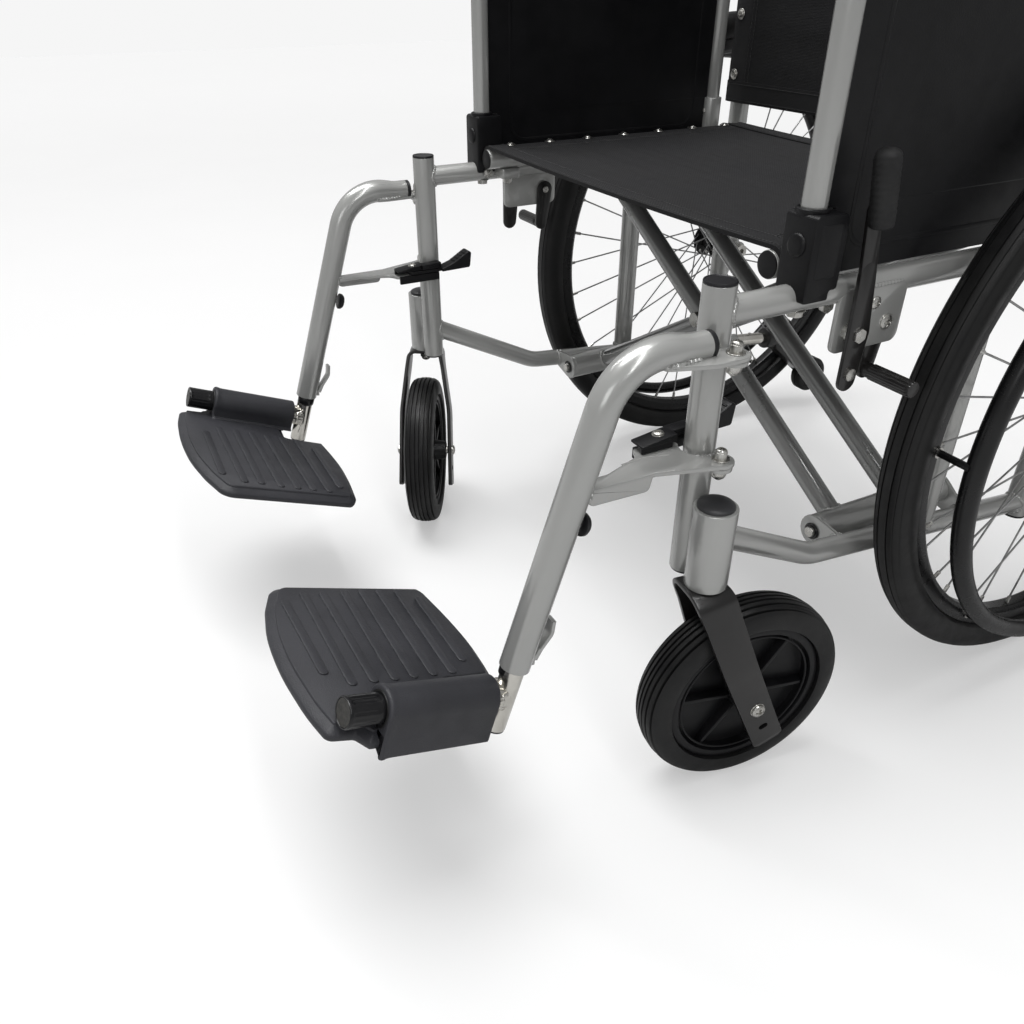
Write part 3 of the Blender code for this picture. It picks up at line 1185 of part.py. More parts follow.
def add_caster_wheel_body(tag, side, turn):
    """The wheel's body hangs from the turned fork, so its empty is placed in the fork's own axes."""
    carrier, carrier_at = bodies["caster_fork_" + tag]
    empty = bpy.data.objects.new("body_caster_wheel_" + tag, None)
    bpy.context.collection.objects.link(empty)
    at = Vector((side * BARREL_X, CASTER_TRAIL, CASTER_Z))
    empty.parent = carrier
    empty.location = at - carrier_at
    bodies["caster_wheel_" + tag] = (empty, at)


def centre_on_origin():
    """Moves the chair so that the middle of its box is over the origin."""
    bpy.context.view_layer.update()
    points = [piece.matrix_world @ v.co for piece in nodes for v in piece.data.vertices]
    low = Vector(min(p[axis] for p in points) for axis in range(3))
    high = Vector(max(p[axis] for p in points) for axis in range(3))
    middle = (low + high) / 2
    bodies["right_frame"][0].location = (-middle.x, -middle.y, -low.z)
    print("box", high - low, "moved by", -middle.x, -middle.y, -low.z)


def main():
    clear_scene()
    make_bodies()
    for side, tag, turn in ((1, "left", LEFT_CASTER_TURN), (-1, "right", RIGHT_CASTER_TURN)):
        add_caster_wheel_body(tag, side, turn)
        side_frame(side, tag)
        frame_trim(side, tag)
        rear_wheel(side, tag)
        caster(side, tag)
        hinge_pins(side, tag)
        hanger(side, tag)
        latch(side, tag)
        extension(side, tag)
        footplate(side, tag)
        armrest(side, tag)
        wheel_lock(side, tag)
        anti_tipper(side, tag)
    brace("brace_a", "brace_a", BRACE_FRONT_Y, 1)
    brace("brace_b", "brace_b", BRACE_FRONT_Y + BRACE_STAGGER, -1)
    cross_bolts()
    slings()
    centre_on_origin()


main()
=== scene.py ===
import json

import bpy
import numpy as np
from mathutils import Matrix, Vector

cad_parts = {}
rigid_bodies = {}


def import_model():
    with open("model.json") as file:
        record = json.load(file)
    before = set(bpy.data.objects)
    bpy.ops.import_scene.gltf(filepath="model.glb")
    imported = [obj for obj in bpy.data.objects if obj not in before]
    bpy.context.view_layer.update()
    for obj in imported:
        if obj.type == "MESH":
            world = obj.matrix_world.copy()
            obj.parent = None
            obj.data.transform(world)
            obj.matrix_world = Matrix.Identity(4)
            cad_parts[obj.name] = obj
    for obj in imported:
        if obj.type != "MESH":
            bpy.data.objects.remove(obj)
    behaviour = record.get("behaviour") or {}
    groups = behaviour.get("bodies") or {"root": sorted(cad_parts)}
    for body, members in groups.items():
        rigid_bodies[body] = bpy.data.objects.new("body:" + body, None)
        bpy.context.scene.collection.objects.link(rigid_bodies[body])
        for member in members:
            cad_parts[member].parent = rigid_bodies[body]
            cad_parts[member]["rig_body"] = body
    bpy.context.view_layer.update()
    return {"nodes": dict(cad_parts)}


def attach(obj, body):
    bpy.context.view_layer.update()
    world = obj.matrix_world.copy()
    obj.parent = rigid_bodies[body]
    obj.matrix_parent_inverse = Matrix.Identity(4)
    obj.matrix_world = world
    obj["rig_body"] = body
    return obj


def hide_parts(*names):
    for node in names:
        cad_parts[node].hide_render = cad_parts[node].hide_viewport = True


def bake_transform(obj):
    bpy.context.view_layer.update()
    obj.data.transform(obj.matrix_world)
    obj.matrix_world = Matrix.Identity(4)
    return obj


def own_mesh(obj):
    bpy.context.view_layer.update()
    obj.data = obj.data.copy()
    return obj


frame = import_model()
print("frame loaded with", len(frame["nodes"]), "nodes")

# The chair is drawn with y = 0 on the axis of its front posts, in metres, and only its left half
chair = {
    "shiftY": -0.22352,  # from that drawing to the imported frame
    "postX": 0.2727,  # middle plane of a side frame
    "postR": 0.0127,
    "tubeR": 0.0111,
    "topTubeZ": 0.4566,
    "caneY": 0.475,
    "barrelX": 0.3014,
    "hingeX": 0.2985,
}
sides = ((1, "left"), (-1, "right"))

# Axes for a flat outline and its thickness
ex, ey, ez = lying = np.eye(3)  # outline in x and y, thickness in z
lengthwise = np.stack([ey, ez, ex])  # outline in y and z, thickness in x
crosswise = np.stack([ex, ez, ey])  # outline in x and z, thickness in y


def unit(v):
    # each row divided by its own length
    v = np.asarray(v, float)
    return v / np.maximum(np.linalg.norm(v, axis=-1, keepdims=True), 1e-12)


def cells(rows, cols, closeRows=False):
    # the four corners of every cell of a grid whose columns wrap round, and its rows too where it closes, with u
    # and v from 0 to 1
    r = np.arange(rows if closeRows else rows - 1)[:, None]
    c = np.arange(cols)[None, :]
    r2, c2 = (r + 1) % rows, (c + 1) % cols
    quads = np.stack(np.broadcast_arrays(r * cols + c, r * cols + c2, r2 * cols + c2, r2 * cols + c), -1)
    u, v = c / cols, r / max(rows - 1, 1)
    du, dv = 1 / cols, 1 / max(rows - 1, 1)
    around = ((0, 0), (1, 0), (1, 1), (0, 1))
    uvs = np.stack([np.stack(np.broadcast_arrays(u + a * du, v + b * dv), -1) for a, b in around], -2)
    return quads.reshape(-1, 4), uvs.reshape(-1, 4, 2)


def shell(points, faces, uvs=None, slot=0):
    uvs = uvs or [np.zeros(f.shape + (2,)) for f in faces]
    return {"points": np.asarray(points, float).reshape(-1, 3), "faces": faces, "uvs": uvs, "slot": slot}


def capped(grid, closeRows=False, slot=0):
    # a grid of rings as one closed skin: each end ring is closed by a fan to its own middle
    rows, cols = grid.shape[:2]
    quads, uvs = cells(rows, cols, closeRows)
    points = grid.reshape(-1, 3)
    if closeRows:
        return shell(points, [quads], [uvs], slot)
    middle = np.stack([grid[0].mean(0), grid[-1].mean(0)])
    i = np.arange(cols)
    j = (i + 1) % cols
    first = np.stack([j, i, np.full(cols, rows * cols)], -1)
    last = np.stack([i, j, np.full(cols, -1)], -1)
    last[:, :2] += (rows - 1) * cols
    last[:, 2] = rows * cols + 1
    fans = np.concatenate([first, last])
    return shell(np.concatenate([points, middle]), [quads, fans], [uvs, np.zeros(fans.shape + (2,))], slot)


def filleted(corners, radius, steps=6, closed=False):
    # each corner becomes the arc that touches both of its sides, swept from the first touching point to the second
    c = np.asarray(corners, float)
    radii = np.broadcast_to(radius, len(c))
    out = []
    for k, corner in enumerate(c):
        before, after = c[k - 1], c[(k + 1) % len(c)]
        toBefore, toAfter = unit(before - corner), unit(after - corner)
        half = np.arccos(np.clip(toBefore @ toAfter, -1, 1)) / 2
        if (not closed and k in (0, len(c) - 1)) or radii[k] <= 0 or half > 1.565:
            out.append(corner[None])
            continue
        reach = min(radii[k] / np.tan(half), 0.499 * np.linalg.norm(before - corner),
            0.499 * np.linalg.norm(after - corner))
        centre = corner + unit(toBefore + toAfter) * reach / np.cos(half)
        start, end = corner + toBefore * reach - centre, corner + toAfter * reach - centre
        sweep = np.pi - 2 * half
        t = np.linspace(0, 1, steps + 1)[:, None]
        out.append(centre + (np.sin((1 - t) * sweep) * start + np.sin(t * sweep) * end) / np.sin(sweep))
    return np.concatenate(out)


def mirrored(profile):
    # half a section, then the same half mirrored, without its last point twice
    profile = np.asarray(profile, float)
    return np.concatenate([profile * (-1, 1), profile[::-1][1:]])


def runOf(path):
    # the length of the path up to each of its points
    return np.concatenate([[0], np.cumsum(np.linalg.norm(np.diff(path, axis=0), axis=-1))])


def placed(path, places):
    # the points of a path that lie at the given lengths along it
    run = runOf(path)
    return np.stack([np.interp(places, run, path[:, k]) for k in range(path.shape[1])], -1)


def sideAxes(axis):
    # two directions at right angles to the axis and to each other
    first = unit(np.cross(axis, ez if abs(axis[2]) < 0.9 else ey))
    return first, np.cross(axis, first)


def tube(path, radius, cols=32, soft=0.0006, slot=0):
    # a circle carried along a path: middle + radius * (cos t * outward + sin t * sideways), its end edges rounded
    # by soft
    path = np.asarray(path, float)
    radius = np.broadcast_to(radius, len(path)).astype(float)
    along = unit(np.gradient(path, axis=0))
    if soft:
        a = np.linspace(0, np.pi / 2, 4)
        inward, less = soft * (1 - np.cos(a)), soft * (1 - np.sin(a))
        path = np.concatenate([path[0] + inward[:, None] * along[0], path[1:-1],
            path[-1] - inward[::-1, None] * along[-1]])
        radius = np.concatenate([radius[0] - less, radius[1:-1], radius[-1] - less[::-1]])
        along = np.concatenate([along[:1].repeat(4, 0), along[1:-1], along[-1:].repeat(4, 0)])
    outward = unit(np.cross(ez if abs(along[0, 0]) > 0.9 else ex, along))
    sideways = np.cross(along, outward)
    t = np.linspace(0, 2 * np.pi, cols, endpoint=False)[:, None]
    grid = path[:, None] + radius[:, None, None] * (np.cos(t) * outward[:, None] + np.sin(t) * sideways[:, None])
    return capped(grid, slot=slot)


def manyTubes(starts, ends, radius, cols=6, slot=0):
    # straight round bars between two lists of points, each a ring at its start and a ring at its end
    starts, ends = np.asarray(starts, float), np.asarray(ends, float)
    along = unit(ends - starts)
    helper = np.where(np.abs(along[:, :1]) > 0.9, [[0, 0, 1.0]], [[1.0, 0, 0]])
    outward = unit(np.cross(helper, along))
    sideways = np.cross(along, outward)
    t = np.linspace(0, 2 * np.pi, cols, endpoint=False)[None, :, None]
    ring = radius * (np.cos(t) * outward[:, None] + np.sin(t) * sideways[:, None])
    points = np.stack([starts[:, None] + ring, ends[:, None] + ring], 1)
    i = np.arange(cols)
    j = (i + 1) % cols
    wall = np.stack([i, j, j + cols, i + cols], -1)
    base = (np.arange(len(starts)) * 2 * cols)[:, None, None]
    low = (np.arange(len(starts)) * 2 * cols)[:, None] + i[::-1]
    return shell(points, [(base + wall).reshape(-1, 4), low, low[:, ::-1] + cols], slot=slot)


def turned(profile, centre, axis, cols=48, closed=False, wave=None, slot=0):
    # a profile of (along, radius) turned about an axis: centre + along * axis + radius * (cos t * e1 + sin t * e2)
    profile = np.asarray(profile, float)
    axis = unit(axis)
    e1, e2 = sideAxes(axis)
    t = np.linspace(0, 2 * np.pi, cols, endpoint=False)
    radius = np.repeat(profile[:, 1:2], cols, 1)
    if wave is not None:
        radius = wave(profile[:, :1], radius, t[None, :])
    around = np.cos(t)[:, None] * e1 + np.sin(t)[:, None] * e2
    grid = np.asarray(centre, float) + profile[:, None, :1] * axis + radius[:, :, None] * around[None]
    return capped(grid, closeRows=closed, slot=slot)


def inset(outline, amount):
    # every corner moved inward along the mean of its two edge normals, so that both edges move by the amount
    edge = unit(np.roll(outline, -1, 0) - outline)
    normal = np.stack([-edge[:, 1], edge[:, 0]], -1)
    before = np.roll(normal, 1, 0)
    return outline + amount * (normal + before) / np.maximum(1 + (normal * before).sum(-1, keepdims=True), 0.4)


def layered(outline, rows, axes=lying, origin=(0, 0, 0), slot=0, corner=None, steps=6):
    # the same outline once for each row (inset, height), its two ends closed by a flat face each; with a corner
    # radius, each row is rounded anew after its corners have moved inward, so that its arcs keep their centres
    outline = np.asarray(outline, float)
    radius = np.broadcast_to(corner or 0, len(outline)).astype(float)
    ahead = np.roll(outline, -1, 0)
    if (outline[:, 0] * ahead[:, 1] - outline[:, 1] * ahead[:, 0]).sum() < 0:
        outline, radius = outline[::-1], radius[::-1]
    coming, leaving = outline - np.roll(outline, 1, 0), np.roll(outline, -1, 0) - outline
    convex = np.sign(coming[:, 0] * leaving[:, 1] - coming[:, 1] * leaving[:, 0])
    rings = []
    for amount, height in rows:
        row = inset(outline, amount)
        if corner is not None:
            row = filleted(row, np.maximum(radius - amount * convex, 0.0012), steps, True)
        rings.append(np.concatenate([row, np.full((len(row), 1), height)], 1))
    grid = np.stack(rings) @ axes + np.asarray(origin, float)
    count, cols = grid.shape[:2]
    quads, uvs = cells(count, cols)
    ends = [np.arange(cols)[::-1][None], np.arange(cols)[None] + (count - 1) * cols]
    return shell(grid, [quads] + ends, [uvs] + [np.zeros(e.shape + (2,)) for e in ends], slot)


def plate(outline, low, high, edge=0.0006, axes=lying, origin=(0, 0, 0), slot=0, steps=2):
    # an outline raised from low to high, its rim rounded by a quarter circle of radius edge at each face
    edge = min(edge, (high - low) * 0.49)
    a = np.linspace(0, np.pi / 2, steps + 1)
    depth, height = edge * (1 - np.sin(a)), edge * (1 - np.cos(a))
    rows = list(zip(depth, low + height)) + list(zip(depth[::-1], high - height[::-1]))
    return layered(outline, rows, axes, origin, slot)


def stadium(first, firstR, second, secondR, steps=14):
    # the outline round two circles: half of each, joined by their outer tangents
    first, second = np.asarray(first, float), np.asarray(second, float)
    reach = second - first
    lean = np.arccos(np.clip((firstR - secondR) / np.linalg.norm(reach), -1, 1))
    facing = np.arctan2(reach[1], reach[0])
    a = facing + np.linspace(lean, 2 * np.pi - lean, steps)
    b = facing + np.linspace(-lean, lean, steps)
    return np.concatenate([first + firstR * np.stack([np.cos(a), np.sin(a)], -1),
        second + secondR * np.stack([np.cos(b), np.sin(b)], -1)])


def box(low, high, edge, corner):
    (x0, y0, z0), (x1, y1, z1) = low, high
    return plate(filleted([(x0, y0), (x1, y0), (x1, y1), (x0, y1)], corner, 4, True), z0, z1, edge)


def sheet(grid, thickness):
    # a surface given two faces, each moved by half the thickness along the cross product of its two directions
    across = np.cross(np.gradient(grid, axis=0), np.gradient(grid, axis=1))
    lift = unit(across) * thickness / 2
    rows, cols = grid.shape[:2]
    both = np.concatenate([grid + lift, (grid - lift)[:, ::-1]], 1)
    quads, uvs = cells(rows, 2 * cols)
    u = uvs[..., 0] * 2
    uvs = np.stack([np.where(u > 1, 2 - u, u), uvs[..., 1]], -1)
    j = np.arange(cols - 1)
    start = np.stack([j + 1, j, 2 * cols - 1 - j, 2 * cols - 2 - j], -1)
    end = start[:, ::-1] + (rows - 1) * 2 * cols
    return shell(both, [quads, start, end], [uvs, np.zeros(start.shape + (2,)), np.zeros(end.shape + (2,))])


def meeting(origin, along, onto, small, big):
    # where a tube meets a cylinder: the distance along it at which each line of its wall is one big radius from the
    # other's axis
    along, onto = unit(along), unit(onto)
    e1 = unit(np.cross(along, onto))
    t = np.linspace(0, 2 * np.pi, 96, endpoint=False)[:, None]
    wall = small * (np.cos(t) * e1 + np.sin(t) * np.cross(along, e1))
    flatWall = wall - (wall @ onto)[:, None] * onto
    flatAlong = along - (along @ onto) * onto
    b, c, a = flatWall @ flatAlong, (flatWall**2).sum(-1) - big**2, flatAlong @ flatAlong
    far = (-b + np.sqrt(np.maximum(b**2 - a * c, 0))) / a
    return np.asarray(origin, float) + wall + far[:, None] * along, unit(wall)


def bead(path, outward, radius=0.0015, closed=True, pitch=0.0035, cols=10):
    # a weld: a small circle carried along the joint, its radius swelling once for each ripple of the weld
    path = np.asarray(path, float)
    step = np.linalg.norm(np.roll(path, -1, 0) - path, axis=-1)
    run = np.concatenate([[0], np.cumsum(step)[:-1]])
    total = step.sum() if closed else run[-1]
    ripple = np.sin(2 * np.pi * run * np.round(total / pitch) / total)
    along = unit(np.roll(path, -1, 0) - np.roll(path, 1, 0)) if closed else unit(np.gradient(path, axis=0))
    outward = np.asarray(outward, float)
    outward = unit(outward - (outward * along).sum(-1, keepdims=True) * along)
    sideways = np.cross(along, outward)
    t = np.linspace(0, 2 * np.pi, cols, endpoint=False)[:, None]
    size = radius * (1 + 0.16 * ripple)[:, None, None]
    if not closed:
        size = size * np.sqrt(np.clip(1 - np.abs(np.linspace(-1, 1, len(path))) ** 8, 0.05, 1))[:, None, None]
    grid = path[:, None] + size * (np.cos(t) * outward[:, None] + 1.25 * np.sin(t) * sideways[:, None])
    return capped(grid, closeRows=closed)


def jointBead(origin, along, onto, small, big, radius=0.0015):
    path, outward = meeting(origin, along, onto, small, big)
    return bead(path, outward, radius)


def hexHead(seat, axis, across, height, dome=0.0, slot=0, bore=0.0):
    # six sides: the radius is the flat's distance over the cosine of the angle from the middle of that flat; the
    # top is cut by a cone, and an acorn nut adds a quarter circle of its own
    flat = across * np.cos(np.pi / 6)

    def sixSides(alongs, radius, t):
        hexagon = flat / np.cos((t + np.pi / 6) % (np.pi / 3) - np.pi / 6)
        return np.where(radius < 0, np.minimum(hexagon, -radius), radius)

    rows = [(0, -across * 0.965), (height * 0.08, -across), (height * 0.86, -across), (height, -across * 0.93),
        (height * 1.001, flat * 0.86)]
    if dome:
        a = np.linspace(0.05, np.pi / 2 - 0.05, 7)
        rows += list(zip(height + dome * np.sin(a), flat * 0.84 * np.cos(a)))
    elif bore:
        rows += [(height, bore), (height * 0.4, bore * 0.96)]
    return turned(rows, seat, axis, 48, wave=sixSides, slot=slot)


def roundHead(seat, axis, radius, height, slot=0):
    # a screw's domed head: height * sqrt(1 - (distance / radius)^2), less a cross-shaped recess
    rho = np.linspace(1, 0.02, 16)[:, None]
    t = np.linspace(0, 2 * np.pi, 48, endpoint=False)[None, :]
    x, y = rho * np.cos(t), rho * np.sin(t)
    top = 0.3 + 0.7 * np.sqrt(np.clip(1 - rho**2 * 0.96, 0, 1)) + 0 * t
    arms = (np.minimum(np.abs(x), np.abs(y)) < 0.13) & (np.maximum(np.abs(x), np.abs(y)) < 0.55)
    top = top - np.where(arms, 0.45, 0)
    seat, axis = np.asarray(seat, float), unit(axis)
    e1, e2 = sideAxes(axis)
    ring = lambda p, q, h: seat + radius * (p[..., None] * e1 + q[..., None] * e2) + h[..., None] * axis
    wall = ring(np.cos(t), np.sin(t), np.zeros_like(t))
    return capped(np.concatenate([wall, ring(x, y, height * top)]), slot=slot)


def washer(seat, axis, radius, height, slot=0):
    rim, hole = min(height * 0.35, 0.0006), radius * 0.3
    section = [(0, radius - rim), (rim, radius), (height - rim, radius), (height, radius - rim),
        (height, hole), (0, hole)]
    return turned(section, seat, axis, 40, closed=True, slot=slot)


def spun(points, angle, centre):
    # turned about the upright line through centre
    x, y = points[..., 0] - centre[0], points[..., 1] - centre[1]
    c, s = np.cos(angle), np.sin(angle)
    return np.stack([centre[0] + c * x - s * y, centre[1] + s * x + c * y, points[..., 2]], -1)


linkObject = bpy.context.scene.collection.objects.link


def makePiece(name, shells, paints, body, side=1, stands=(), turn=None, sharp=38):
    # mirrors and moves every skin into place, turns it outward where its signed volume is negative, and writes one
    # mesh; paints names the finishes of its slots, or is one cloth
    allPoints, corners, counts, uvs, slots, start = [], [], [], [], [], 0
    for item in shells:
        points = item["points"] * (side, 1, 1)
        if turn:
            points = spun(points, *turn)
        points = points + (0, chair["shiftY"], 0)
        local = points - points.mean(0)
        volume = 0.0
        for f in item["faces"]:
            p = local[f]
            for k in range(1, f.shape[1] - 1):
                volume += np.einsum("ij,ij->", p[:, 0], np.cross(p[:, k], p[:, k + 1]))
        step = -1 if volume < 0 else 1
        for f, uv in zip(item["faces"], item["uvs"]):
            corners.append((f[:, ::step] + start).ravel())
            counts.append(np.full(len(f), f.shape[1]))
            uvs.append(uv[:, ::step].reshape(-1, 2))
            slots.append(np.full(len(f), item["slot"]))
        allPoints.append(points)
        start += len(points)
    allPoints, corners, counts = np.concatenate(allPoints), np.concatenate(corners), np.concatenate(counts)
    mesh = bpy.data.meshes.new(name)
    mesh.vertices.add(len(allPoints))
    mesh.vertices.foreach_set("co", allPoints.ravel())
    mesh.loops.add(len(corners))
    mesh.loops.foreach_set("vertex_index", corners.astype(np.int32))
    mesh.polygons.add(len(counts))
    mesh.polygons.foreach_set("loop_start", np.concatenate([[0], np.cumsum(counts)[:-1]]).astype(np.int32))
    mesh.polygons.foreach_set("loop_total", counts.astype(np.int32))
    mesh.polygons.foreach_set("material_index", np.concatenate(slots).astype(np.int32))
    mesh.update(calc_edges=True)
    mesh.uv_layers.new(name="UVMap").data.foreach_set("uv", np.concatenate(uvs).ravel())
    mesh.shade_smooth()
    mesh.set_sharp_from_angle(angle=np.radians(sharp))
    named = paints.split() if isinstance(paints, str) else ()
    for material in [paint[n] for n in named] or [paints]:
        mesh.materials.append(material)
    piece = bpy.data.objects.new(name, mesh)
    linkObject(piece)
    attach(piece, body)
    if stands:
        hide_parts(*stands)
    finishes[named[0]]["slot"] if named else "upholstery"
    return piece


def maker(side, tag):
    # makes the pieces of one half, whose names, bodies and nodes all carry the half's tag
    def make(name, shells, paints, body, node="", **more):
        onBody = tag + "_frame" if body == "frame" else body + "_" + tag
        return makePiece(name + "_" + tag, shells, paints, onBody, side, [node + "_" + tag] if node else (), **more)

    make.side = side
    return make


# Finishes. Colours are linear, sizes of a pattern are in repeats to the metre, depths in metres
class Nodes:
    def __init__(self, name):
        self.material = bpy.data.materials.new(name)
        self.material.use_nodes = True
        self.tree = self.material.node_tree
        self.shader = self.tree.nodes["Principled BSDF"]
        self.place = self.add("TexCoord").outputs["Object"]

    def put(self, socket, value):
        if isinstance(value, bpy.types.NodeSocket):
            self.tree.links.new(value, socket)
        else:
            socket.default_value = value

    def add(self, kind, settings=None, **inputs):
        node = self.tree.nodes.new("ShaderNode" + kind)
        for key, value in (settings or {}).items():
            setattr(node, key, value)
        for key, value in inputs.items():
            self.put(node.inputs[int(key[1:]) if key[1:].isdigit() else key], value)
        return node

    def noise(self, scale, detail=4.0, rough=0.55, place=None):
        return self.add("TexNoise", Vector=place or self.place, Scale=scale, Detail=detail,
            Roughness=rough).outputs["Fac"]

    def ramp(self, value, low, high, toLow=0.0, toHigh=1.0):
        node = self.add("MapRange", {"interpolation_type": "SMOOTHSTEP"}, Value=value)
        for key, number in (("From Min", low), ("From Max", high), ("To Min", toLow), ("To Max", toHigh)):
            node.inputs[key].default_value = number
        return node.outputs["Result"]

    def math(self, operation, a, b):
        return self.add("Math", {"operation": operation}, i0=a, i1=b).outputs[0]

    def mix(self, share, a, b):
        node = self.add("Mix", {"data_type": "RGBA"}, i0=share)
        for index, value in ((6, a), (7, b)):
            self.put(node.inputs[index], (*value, 1.0) if isinstance(value, tuple) else value)
        return node.outputs[2]

    def bump(self, height, depth, normal=None):
        node = self.add("Bump", Height=height, Distance=depth)
        if normal:
            self.put(node.inputs["Normal"], normal)
        return node.outputs["Normal"]


def finish(name, s):
    # colour = dark to light by a slow noise, then specks, scratches and paler edges laid over it: worn edges, and
    # on the moulded grey also a painted edge highlight
    n = Nodes(name)
    slow = n.noise(s.get("patch", 14), 6, 0.6)
    colour = n.mix(n.ramp(slow, 0.35, 0.65), s["dark"], s["light"])
    rough = n.ramp(n.noise(s.get("smear", 45), 5, 0.65), 0.3, 0.7, *s["rough"])
    if "speck" in s:
        spot, scale, cover = s["speck"]
        flakes = n.ramp(n.noise(scale, 2, 0.5), 0.5 + cover, 0.56 + cover)
        colour = n.mix(n.math("MULTIPLY", flakes, s.get("speckShare", 0.6)), colour, spot)
    if "scratch" in s:
        streak = n.add("Mapping", Vector=n.place, Rotation=(0.5, 0.9, 0.3), Scale=(1, 1, 0.02)).outputs["Vector"]
        marks = n.ramp(n.noise(s["scratch"][1], 2, 0.5, streak), 0.7, 0.74)
        marks = n.math("MULTIPLY", marks, n.ramp(n.noise(22, 3), 0.5, 0.62, 0, s["scratch"][2]))
        colour = n.mix(marks, colour, s["scratch"][0])
        rough = n.math("ADD", rough, n.math("MULTIPLY", marks, 0.25))
    # paler rounded edges: worn paint on the black paint; on the moulded grey partly wear and partly a painted
    # highlight along the bevel's rim
    if "wear" in s:
        rounded = n.add("Bevel", {"samples": 4}, Radius=s["wear"][1]).outputs["Normal"]
        flat = n.add("NewGeometry").outputs["Normal"]
        turn = n.add("VectorMath", {"operation": "DOT_PRODUCT"}, i0=rounded, i1=flat).outputs["Value"]
        wornAndLitEdge = n.math("MULTIPLY", n.ramp(turn, 0.985, 0.9), n.ramp(n.noise(150, 5, 0.7), *s["wear"][2]))
        colour = n.mix(wornAndLitEdge, colour, s["wear"][0])
    n.put(n.shader.inputs["Base Color"], colour)
    n.put(n.shader.inputs["Roughness"], rough)
    normal = None
    for scale, depth in s.get("grain", ()):
        normal = n.bump(n.noise(scale, 3, 0.5), depth, normal)
    if "pebble" in s:
        scale, depth = s["pebble"]
        cell = n.add("TexVoronoi", {"feature": "SMOOTH_F1"}, Vector=n.place, Scale=scale,
            Smoothness=0.6).outputs["Distance"]
        normal = n.bump(cell, depth, normal)
    if normal:
        n.put(n.shader.inputs["Normal"], normal)
    for socket, key, usual in (("Metallic", "metal", 0), ("Coat Weight", "coat", 0),
            ("Coat Roughness", "coatRough", 0.1), ("Specular IOR Level", "specular", 0.5)):
        n.shader.inputs[socket].default_value = s.get(key, usual)
    return n.material


